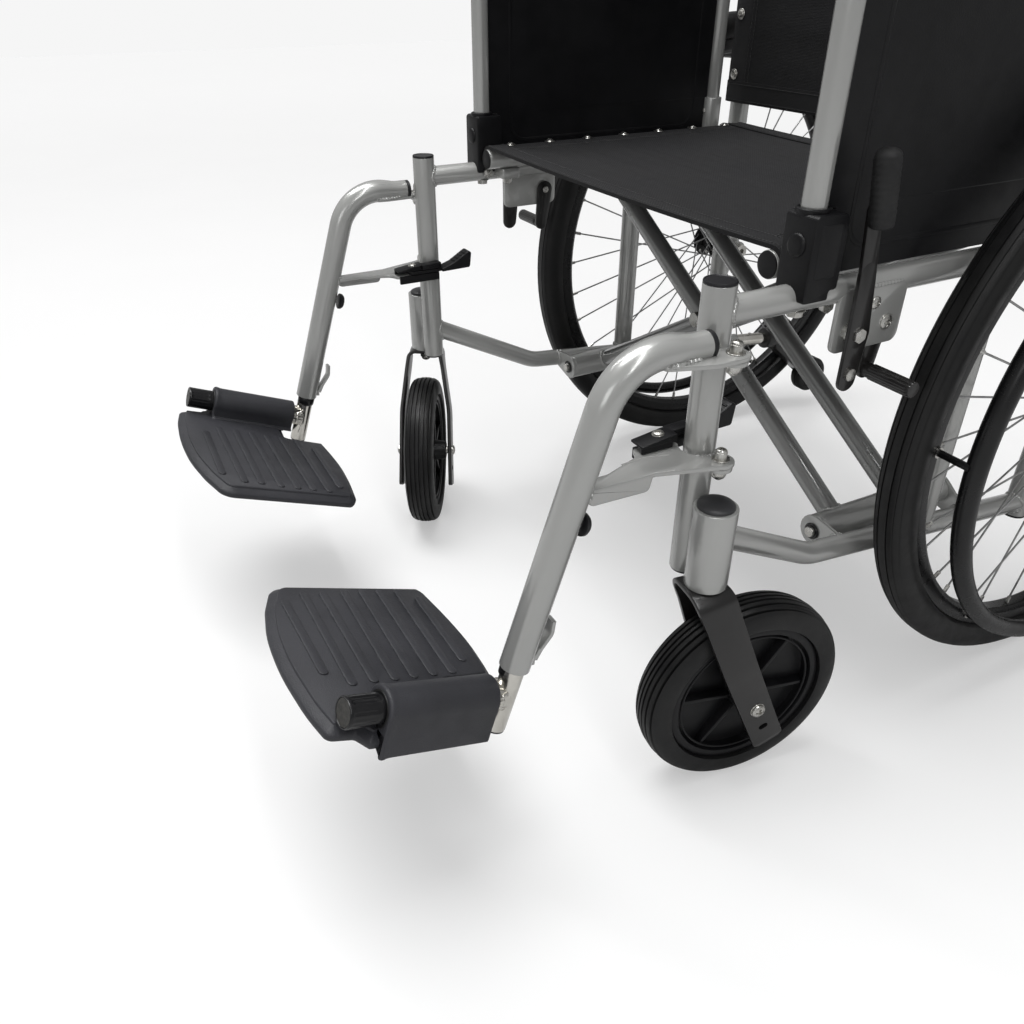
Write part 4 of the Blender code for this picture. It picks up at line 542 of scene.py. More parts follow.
finishes = {
    "silverPaint": {"slot": "silver_paint", "dark": (0.43, 0.433, 0.421), "light": (0.456, 0.46, 0.447),
        "metal": 0.4, "rough": (0.24, 0.27), "coat": 0.8, "coatRough": 0.04, "patch": 5, "smear": 9,
                    "speck": ((0.46, 0.46, 0.45), 2600, 0.06), "speckShare": 0.35, "grain": ((1500, 0.000006),)},
    "blackPaint": {"slot": "black_paint", "dark": (0.0082, 0.0076, 0.0075), "light": (0.013, 0.012, 0.0117),
        "rough": (0.28, 0.38), "specular": 0.42, "coat": 0.35, "coatRough": 0.1,
                   "wear": ((0.24, 0.235, 0.225), 0.0007, (0.6, 0.7)), "grain": ((300, 0.00003), (1300, 0.00002))},
    "rimPaint": {"slot": "black_paint", "dark": (0.0045, 0.0045, 0.005), "light": (0.0075, 0.0075, 0.008),
        "rough": (0.24, 0.34), "specular": 0.4, "grain": ((230, 0.00003),)},
    "blackPlastic": {"slot": "black_plastic", "dark": (0.004, 0.004, 0.0048), "light": (0.007, 0.007, 0.008),
        "rough": (0.34, 0.46), "specular": 0.28, "grain": ((900, 0.00006),), "pebble": (1400, 0.00005)},
    "satinPlastic": {"slot": "black_plastic", "dark": (0.009, 0.009, 0.0105), "light": (0.014, 0.014, 0.016),
        "rough": (0.32, 0.44), "specular": 0.4, "grain": ((700, 0.00005),), "pebble": (1800, 0.00006)},
    "capPlastic": {"slot": "black_plastic", "dark": (0.034, 0.034, 0.037), "light": (0.046, 0.046, 0.049),
        "rough": (0.34, 0.44), "specular": 0.45, "grain": ((600, 0.00005),), "pebble": (1500, 0.00006)},
    "glossPlastic": {"slot": "black_plastic", "dark": (0.0055, 0.0055, 0.0065), "light": (0.01, 0.01, 0.011),
        "rough": (0.18, 0.27), "specular": 0.4, "grain": ((160, 0.00004),)},
    "mouldedGrey": {"slot": "moulded_grey", "dark": (0.0285, 0.029, 0.0335), "light": (0.039, 0.0395, 0.0455),
        "rough": (0.4, 0.52), "patch": 9, "specular": 0.38,
                    # its paler edges are partly wear and partly a painted highlight along the tread's bevel
                    "wear": ((0.075, 0.075, 0.08), 0.0008, (0.46, 0.66)), "grain": ((430, 0.00012),),
                    "pebble": (1050, 0.00022)},
    "zinc": {"slot": "zinc", "dark": (0.5, 0.49, 0.46), "light": (0.66, 0.655, 0.63), "metal": 1.0,
        "rough": (0.2, 0.38), "patch": 90, "smear": 160,
             "speck": ((0.34, 0.33, 0.3), 1300, 0.12), "grain": ((900, 0.00004),)},
    "chrome": {"slot": "chrome", "dark": (0.66, 0.64, 0.59), "light": (0.8, 0.78, 0.73), "metal": 1.0,
        "rough": (0.1, 0.26), "patch": 30, "smear": 70,
               "scratch": ((0.46, 0.44, 0.4), 300, 0.6), "grain": ((120, 0.00004),)},
    "spokeSteel": {"slot": "zinc", "dark": (0.34, 0.34, 0.34), "light": (0.5, 0.5, 0.5), "metal": 1.0,
        "rough": (0.28, 0.44), "patch": 60, "grain": ((1200, 0.00003),)},
    "tyreRubber": {"slot": "rubber", "dark": (0.005, 0.005, 0.0055), "light": (0.0085, 0.0084, 0.0083),
        "rough": (0.38, 0.5), "patch": 26, "smear": 60, "specular": 0.34,
                   "grain": ((700, 0.00006), (140, 0.00006))},
    "gripRubber": {"slot": "black_plastic", "dark": (0.01, 0.01, 0.011), "light": (0.018, 0.018, 0.018),
        "rough": (0.52, 0.7), "specular": 0.4, "grain": ((800, 0.0001),)},
    "vinyl": {"slot": "black_plastic", "dark": (0.011, 0.011, 0.012), "light": (0.018, 0.018, 0.019),
        "rough": (0.32, 0.46), "patch": 20, "grain": ((90, 0.00018),), "pebble": (620, 0.0003)},
    "thread": {"slot": "upholstery", "dark": (0.03, 0.03, 0.031), "light": (0.055, 0.055, 0.056),
        "rough": (0.6, 0.75), "patch": 300, "grain": ((2400, 0.0001),)},
    # painted shade: a near-black finish that stands in for the shadowed inside of a hole, not a surface's own
    # colour
    "holeDark": {"slot": "black_paint", "dark": (0.0008, 0.0008, 0.0009), "light": (0.0016, 0.0016, 0.0017),
        "rough": (0.75, 0.9), "specular": 0.05, "grain": ((600, 0.00005),)},
    # painted shade: the silver paint made darker for the brace legs, standing in for the shade under the seat
    "bracePaint": {"slot": "silver_paint", "dark": (0.27, 0.273, 0.268), "light": (0.3, 0.303, 0.297),
        "metal": 0.45, "rough": (0.24, 0.28), "coat": 0.8, "coatRough": 0.05, "patch": 5, "smear": 9,
                   "speck": ((0.33, 0.33, 0.32), 2600, 0.06), "speckShare": 0.35, "grain": ((1500, 0.000006),)},
    "dustyMetal": {"slot": "zinc", "dark": (0.03, 0.029, 0.027), "light": (0.06, 0.058, 0.052), "metal": 0.3,
        "rough": (0.4, 0.56), "patch": 400, "grain": ((700, 0.00018),)},
}
paint = {name: finish(name, s) for name, s in finishes.items()}

# dark is the painted shade in the weave's hollows, light the tops of its threads
weave = {"perMetre": 640, "depth": 0.00022, "dark": (0.007, 0.007, 0.008), "light": (0.02, 0.02, 0.022),
    "fuzz": 900}


def wovenCloth(name, size):
    # two sets of threads, sin along u and sin along v, that take turns on top: the sign of their product says which
    # one shows
    n = Nodes(name)
    uv = n.add("UVMap", {"uv_map": "UVMap"}).outputs["UV"]
    apart = n.add("SeparateXYZ", Vector=uv)
    across = n.math("MULTIPLY", apart.outputs["X"], size[0] * weave["perMetre"] * np.pi)
    along = n.math("MULTIPLY", apart.outputs["Y"], size[1] * weave["perMetre"] * np.pi)
    su, sv = [n.add("Math", {"operation": "SINE"}, i0=angle).outputs[0] for angle in (across, along)]
    which = n.ramp(n.math("MULTIPLY", su, sv), -0.1, 0.1)
    over, under = n.math("ABSOLUTE", su, 0.0), n.math("ABSOLUTE", sv, 0.0)
    height = n.add("Mix", {"data_type": "FLOAT"}, i0=which, i2=over, i3=under).outputs[0]
    slow = n.ramp(n.noise(11, 6, 0.6), 0.32, 0.68)
    # painted shade: each thread is coloured darker where it dips under the crossing one, in the hollows of the
    # weave
    dipShadedTone = n.mix(n.math("MULTIPLY", height, 0.8), weave["dark"], weave["light"])
    dipShadedTone = n.mix(n.math("MULTIPLY", slow, 0.35), dipShadedTone, (0.017, 0.0165, 0.016))
    lint = n.ramp(n.noise(weave["fuzz"], 2), 0.64, 0.7, 0, 0.4)
    n.put(n.shader.inputs["Base Color"], n.mix(lint, dipShadedTone, (0.045, 0.045, 0.045)))
    n.put(n.shader.inputs["Roughness"], n.ramp(slow, 0, 1, 0.62, 0.8))
    n.put(n.shader.inputs["Normal"], n.bump(n.noise(60, 4), 0.0005, n.bump(height, weave["depth"])))
    n.shader.inputs["Sheen Weight"].default_value = 0.06
    n.shader.inputs["Sheen Roughness"].default_value = 0.4
    n.shader.inputs["Specular IOR Level"].default_value = 0.25
    return n.material


print("finishes made")


def strap(path, across, halfWidth, thickness, edge=0.0005):
    # a rounded rectangle, half a width by half a thickness, carried along a path: across lies in the strap's face
    path, across = np.asarray(path, float), np.asarray(across, float)
    along = unit(np.gradient(path, axis=0))
    across = unit(across - (across * along).sum(-1, keepdims=True) * along)
    upright = np.cross(along, across)
    w, h = np.broadcast_to(halfWidth, len(path)), thickness / 2
    a = np.linspace(0, np.pi / 2, 3)
    turn = (np.arange(4)[:, None] * np.pi / 2 + a[None]).ravel()
    signX = np.repeat([1, -1, -1, 1], 3)
    signY = np.repeat([1, 1, -1, -1], 3)
    e = np.minimum(edge, w * 0.6)[:, None]
    px = signX * (w[:, None] - e) + e * np.cos(turn)
    py = signY * (h - e) + e * np.sin(turn)
    return capped(path[:, None] + px[..., None] * across[:, None] + py[..., None] * upright[:, None])


def ring(centre, major, minor, cols, section):
    # a torus about the x axis: its section is a circle of the minor radius, at the major radius from the centre
    t = np.linspace(0, 2 * np.pi, section, endpoint=False)
    return turned(np.stack([minor * np.sin(t), major + minor * np.cos(t)], -1), centre, ex, cols, closed=True)


def arc(centre, radius, start, end, first, second, count=24):
    # centre + radius * (cos a * first + sin a * second), a from start to end in degrees
    a = np.radians(np.linspace(start, end, count))[:, None]
    spoke = np.cos(a) * np.asarray(first, float) + np.sin(a) * np.asarray(second, float)
    return np.asarray(centre, float) + radius * spoke, spoke


brace = {"railX": 0.244, "railZ": 0.47453, "railR": 0.0111, "pivotX": 0.2389, "pivotZ": 0.1877, "crossZ": 0.3296,
    "sleeveR": 0.0159, "span": 0.089,
         "front": 0.070, "rear": 0.458}
frameTubes = {
    "postLow": 0.2322, "postTop": 0.479, "barrelTop": 0.3072, "barrelR": 0.0183, "caneFoot": 0.146,
    "handleZ": 0.925, "handleEnd": 0.645,
    "handleBend": 0.055, "uprightY": 0.306, "rail": ((0, 0.2696), (0.15, 0.1945), (0.527, 0.1545)),
    "railBend": 0.06,
    "wheelY": 0.493, "wheelZ": 0.309, "sleeveR": 0.0125, "weldR": 0.0016, "socketY": 0.425, "earZ": (0.34, 0.427),
    "lugY": (0.1917, 0.3723),
    "cradleY": (0.1, 0.36), "lockX": 0.2798, "lockPin": (0.128, 0.424), "shoePin": (0.1693, 0.425),
}
t = frameTubes
railDrop = (t["rail"][2][1] - t["rail"][1][1]) / (t["rail"][2][0] - t["rail"][1][0])
railAlong = unit([0, 1, railDrop])


def railZ(y):
    return t["rail"][1][1] + (y - t["rail"][1][0]) * railDrop


def frameSide(make):
    x, postR, tubeR, top, cane = (chair[key] for key in ("postX", "postR", "tubeR", "topTubeZ", "caneY"))
    pivotX, pivotZ, socketY = brace["pivotX"], brace["pivotZ"], t["socketY"]
    rail = filleted([(x, *p) for p in t["rail"]], t["railBend"], 10)
    slant = unit(np.array(rail[1]) - rail[0])
    shells = [
        tube([(x, 0, t["postLow"]), (x, 0, t["postTop"])], postR, 48),
        tube([(chair["barrelX"], 0, t["postLow"]), (chair["barrelX"], 0, t["barrelTop"])], t["barrelR"], 56,
            soft=0.0009),
        tube([(x, 0, top), (x, cane, top)], tubeR, 40),
        tube(filleted([(x, cane, t["caneFoot"]), (x, cane, t["handleZ"]), (x, t["handleEnd"], t["handleZ"])],
            t["handleBend"], 14), postR, 40),
        tube(rail, tubeR, 40),
        tube([(x, t["uprightY"], railZ(t["uprightY"])), (x, t["uprightY"], top)], postR, 40),
        tube([(0.255, t["wheelY"], t["wheelZ"]), (0.2875, t["wheelY"], t["wheelZ"])], t["sleeveR"], 40),
        tube([(x, socketY, top), (x, socketY, 0.52)], postR, 40, soft=0.001),
    ]
    for z, more in ((t["wheelZ"] - 0.05, 0.0), (t["wheelZ"] + 0.05, 0.0002)):
        shells.append(plate(stadium((cane, z), postR * 0.8, (t["wheelY"], t["wheelZ"]), t["sleeveR"]),
            x - 0.004 - more, x + 0.004 + more, 0.0006, lengthwise))
    for low in t["earZ"]:  # the ears that the hanger's pins go through, each welded to the post above and below
        shells.append(plate(stadium((x, 0), postR * 0.85, (chair["hingeX"], 0), 0.01), low, low + 0.004, 0.0008))
        for z in (low - 0.0007, low + 0.0047):
            shells.append(bead(*arc((x, 0, z), postR + 0.0004, -62, 62, ex, ey, 60), t["weldR"], False))
    for y in t["lugY"]:  # the lugs that the brace's sleeves turn between
        shells.append(plate(stadium((x, railZ(y)), tubeR * 0.9, (pivotX, pivotZ), 0.0165), y, y + 0.004, 0.0008,
            crosswise))
        for yBead in (y - 0.0006, y + 0.0046):
            shells.append(bead(*arc((x, yBead, railZ(yBead)), tubeR + 0.0003, 95, 238, ex, ez, 50), 0.0014, False))
    for y in t["cradleY"]:  # cradles that the seat rail lies in
        shells.append(box((0.2373, y - 0.012, 0.45105), (x, y + 0.012, 0.46313), 0.0012, 0.003))
    lockPlate = filleted([(0.112, top), (0.112, 0.4065), (0.186, 0.4065), (0.186, top)], 0.008, 6, True)
    shells.append(plate(lockPlate, t["lockX"], t["lockX"] + 0.004, 0.0007, lengthwise))
    line = np.linspace((x + 0.0108, 0.119, top + 0.0012), (x + 0.0108, 0.18, top + 0.0012), 70)
    shells.append(bead(line, (1.0, 0, 0.4), 0.0015, False))
    for sign in (1, -1):  # the barrel's two long welds
        line = np.linspace((0.28403, sign * 0.0066, 0.236), (0.28403, sign * 0.0066, 0.304), 60)
        shells.append(bead(line, (0.0, sign, 0), 0.0017, False, 0.004))
    uprightFoot = (x, t["uprightY"], railZ(t["uprightY"]))
    joints = [
        ((x, 0, top), ey, ez, tubeR, postR), ((x, cane, top), -ey, ez, tubeR, postR),
        ((x, 0, t["rail"][0][1]), slant, ez, tubeR, postR), ((x, cane, railZ(cane)), -railAlong, ez, tubeR, postR),
        ((x, cane, railZ(cane)), railAlong, ez, tubeR, postR), (uprightFoot, ez, railAlong, postR, 0.0133),
        ((x, t["uprightY"], top), -ez, ey, postR, 0.0133), ((x, socketY, top), ez, ey, postR, 0.0133),
    ]
    shells += [jointBead(*j, radius=t["weldR"] + 0.0002 * (k % 2)) for k, j in enumerate(joints)]
    for xRing in (x - 0.0048, x + 0.0048):
        shells.append(bead(*arc((xRing, t["wheelY"], t["wheelZ"]), t["sleeveR"] + 0.0004, 0, 356, ey, ez, 110),
            0.0014, False))
    make("frameTubes", shells, "silverPaint", "frame", "side_frame")

    face = t["lockX"] + 0.004
    pins = [
        tube([(pivotX, 0.1862, pivotZ), (pivotX, 0.3818, pivotZ)], 0.0055, 24),
        roundHead((pivotX, 0.1894, pivotZ), -ey, 0.0052, 0.003),
        roundHead((pivotX, 0.3776, pivotZ), ey, 0.0056, 0.0034),
        tube([(face, *t["lockPin"]), (face + 0.007, *t["lockPin"])], 0.008, 28),
        tube([(face, *t["lockPin"]), (face + 0.013, *t["lockPin"])], 0.004, 24),
        hexHead((face + 0.0115, *t["lockPin"]), ex, 0.0062, 0.0018, 0.0),
        tube([(face - 0.0101, *t["shoePin"]), (face - 0.0006, *t["shoePin"])], 0.004, 24),
        roundHead((face, *t["shoePin"]), ex, 0.0064, 0.0026),
        roundHead((face, 0.152, 0.4435), ex, 0.0052, 0.0024),
        hexHead((0.274, 0.1118, 0.444), -ex, 0.0062, 0.0048),
        hexHead((x, 0.0775, 0.447), -ez, 0.0066, 0.0052, 0.0, bore=0.0032),
        washer((x, 0.0775, 0.447), -ez, 0.008, 0.001),
        roundHead((x, socketY - postR, 0.503), -ey, 0.0045, 0.0022),
    ]
    make("frameBolts", pins, "zinc", "frame")
    plugs = [
        turned([(0.0006, 0.0108), (-0.0006, 0.0124), (-0.0022, 0.0122), (-0.003, 0.0105), (-0.0033, 0.003),
            (-0.0033, 0.0004)], (x, cane, t["caneFoot"]), ez, 40),
        turned([(0.0006, 0.0125), (-0.0008, 0.0155), (-0.0016, 0.0148), (-0.002, 0.0095)],
            (chair["barrelX"], 0, t["postLow"]), ez, 40),
        turned([(0.0004, 0.0108), (-0.0008, 0.0122), (-0.002, 0.0112), (-0.0024, 0.003), (-0.0024, 0.0004)],
            (x, 0, t["postLow"]), ez, 40),
        washer((pivotX, 0.1894, pivotZ), ey, 0.0086, 0.0024), washer((pivotX, 0.3762, pivotZ), ey, 0.0086, 0.0024),
    ]
    make("framePlugs", plugs, "glossPlastic", "frame")


caps = {"rise": 0.0003, "postR": 0.0126, "barrelR": 0.0154, "dome": 0.005}


def frameCaps(make):
    post = [(0, 0.0112), (0, caps["postR"]), (0.0014, caps["postR"]), (0.002, 0.0122), (0.0021, 0.0114),
        (0.0016, 0.0108), (0.0016, 0.006), (0.0017, 0.0004)]
    a = np.linspace(0, np.pi / 2 - 0.05, 10)
    make("postCap", [turned(post, (chair["postX"], 0, t["postTop"] + caps["rise"]), ez, 56)], "satinPlastic",
        "frame", "post_cap")
    barrel = [(0, 0.014), (0, caps["barrelR"]), (0.0012, caps["barrelR"])]
    barrel += list(zip(0.0012 + (caps["dome"] - 0.0012) * np.sin(a), caps["barrelR"] * np.cos(a)))
    make("barrelCap", [turned(barrel, (chair["barrelX"], 0, t["barrelTop"] + caps["rise"]), ez, 64)], "capPlastic",
        "frame", "barrel_cap")


grip = {"tip": 0.6453, "length": 0.112, "r": 0.0166, "rings": 11, "swell": 0.001, "flange": 0.0193}


def pushGrip(make):
    # radius = grip + swell * |sin(run)|, with finger scallops on the lower side that follow cos t
    start = grip["tip"] - grip["length"]
    run = np.linspace(0, 1, 120)
    body = grip["r"] - 0.0006 + grip["swell"] * np.abs(np.sin(run * grip["rings"]
        * np.pi)) ** 0.5 * np.clip(np.minimum(run, 1 - run) * 14, 0, 1)
    profile = [(start + 0.0002, 0.0134), (start, grip["flange"] - 0.001), (start + 0.001, grip["flange"]),
        (start + 0.003, grip["flange"]), (start + 0.004, grip["flange"] - 0.0008), (start + 0.0046, grip["r"])]
    profile += list(zip(start + 0.006 + run * (grip["length"] - 0.008), body))
    a = np.linspace(0.15, np.pi / 2 - 0.02, 9)
    profile += list(zip(grip["tip"] - 0.0015 + 0.0048 * np.sin(a), grip["r"] * np.cos(a) ** 0.6))

    def fingers(alongs, radius, turn):
        share = np.clip((alongs - start - 0.012) / (grip["length"] - 0.024), 0, 1)
        depth = 0.0014 * (0.5 - 0.5 * np.cos(share * 8 * np.pi))
        return radius - depth * np.clip(np.sin(turn), 0, 1) ** 2

    make("gripSleeve", [turned(profile, (chair["postX"], 0, t["handleZ"]), ey, 72, wave=fingers)], "gripRubber",
        "frame", "push_grip", sharp=50)



def braceHalf(name, body, legY, side):
    b, r = brace, brace["railR"]
    low, high = np.array([b["pivotX"], 0, b["pivotZ"]]), np.array([-b["railX"], 0, b["railZ"]])
    along = unit(high - low)
    shells = [
        tube([low + 0.196 * ey, low + 0.372 * ey], b["sleeveR"], 48, soft=0.001),
        tube([high + b["front"] * ey, high + b["rear"] * ey], r, 40),
    ]
    for y in (legY, legY + b["span"]):
        # the legs take slot 2, the darker copy of the silver paint that paints the shade under the seat
        shells.append(tube([low + y * ey, high + y * ey], r, 40, slot=2))
        shells.append(jointBead(low + y * ey, along, ey, r, b["sleeveR"], 0.0018))
        shells.append(jointBead(high + y * ey, -along, ey, r, r + 0.0009, 0.0016))
    collars = [washer(low + y * ey, ey, 0.015, 0.0016, slot=1) for y in (0.1962, 0.3708)]
    plug = [(-0.001, 0.009), (0.0, 0.0107), (0.0009, 0.0104), (0.0015, 0.008), (0.0018, 0.001)]
    for y, out in ((b["front"], -ey), (b["rear"], ey)):  # plugs in the seat rail's two ends
        collars.append(turned(plug, high + y * ey, out, 36, slot=1))
    makePiece(name + "Tubes", shells + collars, "silverPaint blackPlastic bracePaint", body, side, [name])


def crossBolt(name, seat):
    z = brace["crossZ"]
    head = [
        hexHead((0, seat, z), -ey, 0.0088, 0.005, 0.0),
        washer((0, seat + 0.0001, z), -ey, 0.0088, 0.0012),
        tube([(0, seat, z), (0, seat + 0.0458, z)], 0.005, 24),
        washer((0, seat + 0.0457, z), ey, 0.0088, 0.0012),
        hexHead((0, seat + 0.0466, z), ey, 0.0084, 0.0034, 0.0018),
    ]
    makePiece(name + "Set", head, "zinc", "brace_b", 1, [name])


wheel = {"x": 0.3128, "y": 0.493, "z": 0.309, "r": 0.309, "rimR": 0.277, "rimInner": 0.2595, "rimHalf": 0.0105,
    "half": 0.0178, "spokes": 36,
         "flangeX": 0.018, "offset": 0.0014, "lead": 66, "spokeR": 0.00105, "hoopX": 0.0452, "hoopR": 0.259}


def rearWheel(make):
    w = wheel
    centre, body = np.array([w["x"], w["y"], w["z"]]), "rear_wheel"
    # the tyre's section, from one bead over the tread to the other, with two fine grooves beside a flat band
    half, r = w["half"], w["r"]
    outer = [(half * 0.62, 0.2776), (half * 0.86, 0.28), (half * 0.98, 0.286), (half, 0.2905),
        (half * 0.985, 0.2955), (half * 0.91, 0.3005), (half * 0.86, 0.3022),
             (half * 0.85, 0.3018), (half * 0.8, 0.3035), (half * 0.7, 0.3056), (half * 0.62, 0.3067),
             (half * 0.59, 0.306), (half * 0.55, 0.3072),
             (half * 0.42, 0.3083), (half * 0.32, 0.3087), (half * 0.3, 0.3076), (half * 0.25, 0.3076),
             (half * 0.23, 0.3089), (half * 0.1, r - 0.0001), (0.0, r)]
    section = mirrored(outer)
    make("tyreRear", [turned(section, centre, ex, 160, closed=True)], "tyreRubber", body, "rear_tyre", sharp=32)

    rh, ro, ri = w["rimHalf"], w["rimR"], w["rimInner"]
    rim = filleted([(-rh, ro), (-rh, ri + 0.005), (-rh * 0.62, ri), (rh * 0.62, ri), (rh, ri + 0.005), (rh, ro)],
        [0.0004, 0.003, 0.003, 0.003, 0.003, 0.0004], 4, True)
    hub = [(-0.025, 0.0085), (-0.025, 0.012), (-0.0242, 0.013), (-0.0205, 0.0132), (-0.0197, 0.015),
        (-0.0196, 0.0232), (-0.019, 0.024), (-0.017, 0.024), (-0.0164, 0.0232),
           (-0.016, 0.0155), (-0.014, 0.0128), (0.0, 0.0122)]
    hub = mirrored(hub) * (-1, 1)
    number = np.arange(w["spokes"])
    facing = np.where(number % 2 == 1, -1, 1)
    leading = np.where(number % 4 < 2, 1, -1)
    atRim = 2 * np.pi * number / w["spokes"]
    atHub = atRim + np.radians(w["lead"]) * leading
    xHub, xRim = facing * (w["flangeX"] + leading
        * w["offset"]), facing * 2 * w["offset"] + leading * w["offset"] * facing
    starts = centre + np.stack([xHub, 0.02 * np.cos(atHub), 0.02 * np.sin(atHub)], -1)
    ends = centre + np.stack([xRim, 0.2635 * np.cos(atRim), 0.2635 * np.sin(atRim)], -1)
    back = unit(starts - ends)
    shells = [
        turned(rim, centre, ex, 160, closed=True),
        turned(hub, centre, ex, 48),
        manyTubes(starts, ends, w["spokeR"], 7, slot=1),
        manyTubes(ends + back * 0.013, ends + back * 0.0005, 0.0021, 8, slot=2),
        manyTubes(starts - (np.stack([facing * 0.0006, facing * 0, facing * 0], -1)),
            starts + np.stack([facing * 0.0016, facing * 0, facing * 0], -1), 0.0021, 8, slot=2),
        manyTubes(centre + np.array([[0.0, 0, -ri + 0.001]]), centre + np.array([[0.0, 0, -ri + 0.03]]),
            0.003, 12, slot=3),
        manyTubes(centre + np.array([[0.0, 0, -ri + 0.03]]), centre + np.array([[0.0, 0, -ri + 0.036]]),
            0.0038, 12, slot=3),
    ]
    make("wheelRear", shells, "rimPaint spokeSteel zinc glossPlastic", body, "rear_wheel")

    hoop = [ring(centre + (w["hoopX"], 0, 0), w["hoopR"], 0.0094, 180, 28)]
    turn = 2 * np.pi * np.arange(6) / 6
    at = lambda x, r: centre + np.stack([np.full(6, x), r * np.cos(turn), r * np.sin(turn)], -1)
    hoop += [manyTubes(at(0.0108, 0.2665), at(0.044, 0.2665), 0.0034, 16),
        manyTubes(at(0.0106, 0.2665), at(0.0126, 0.2665), 0.0052, 18, slot=1)]
    make("handHoop", hoop, "rimPaint zinc", body, "handrim")

    seat = centre + (0.025, 0, 0)
    axle = [
        tube([(0.2552, w["y"], w["z"]), (0.3376, w["y"], w["z"])], 0.0061, 32),
        washer(seat, ex, 0.0108, 0.0012), hexHead(seat + (0.001, 0, 0), ex, 0.0108, 0.0046, 0.002),
        hexHead((0.255, w["y"], w["z"]), -ex, 0.0108, 0.007, 0.0, bore=0.004),
    ]
    make("axleRear", axle, "zinc", "frame", "rear_axle")


caster = {"x": 0.3014, "trail": 0.051, "z": 0.1, "r": 0.1, "half": 0.019, "rimR": 0.0765, "forkHalf": 0.0325,
          "turn": {1: -0.146, -1: -2.083}, "ribs": 6}


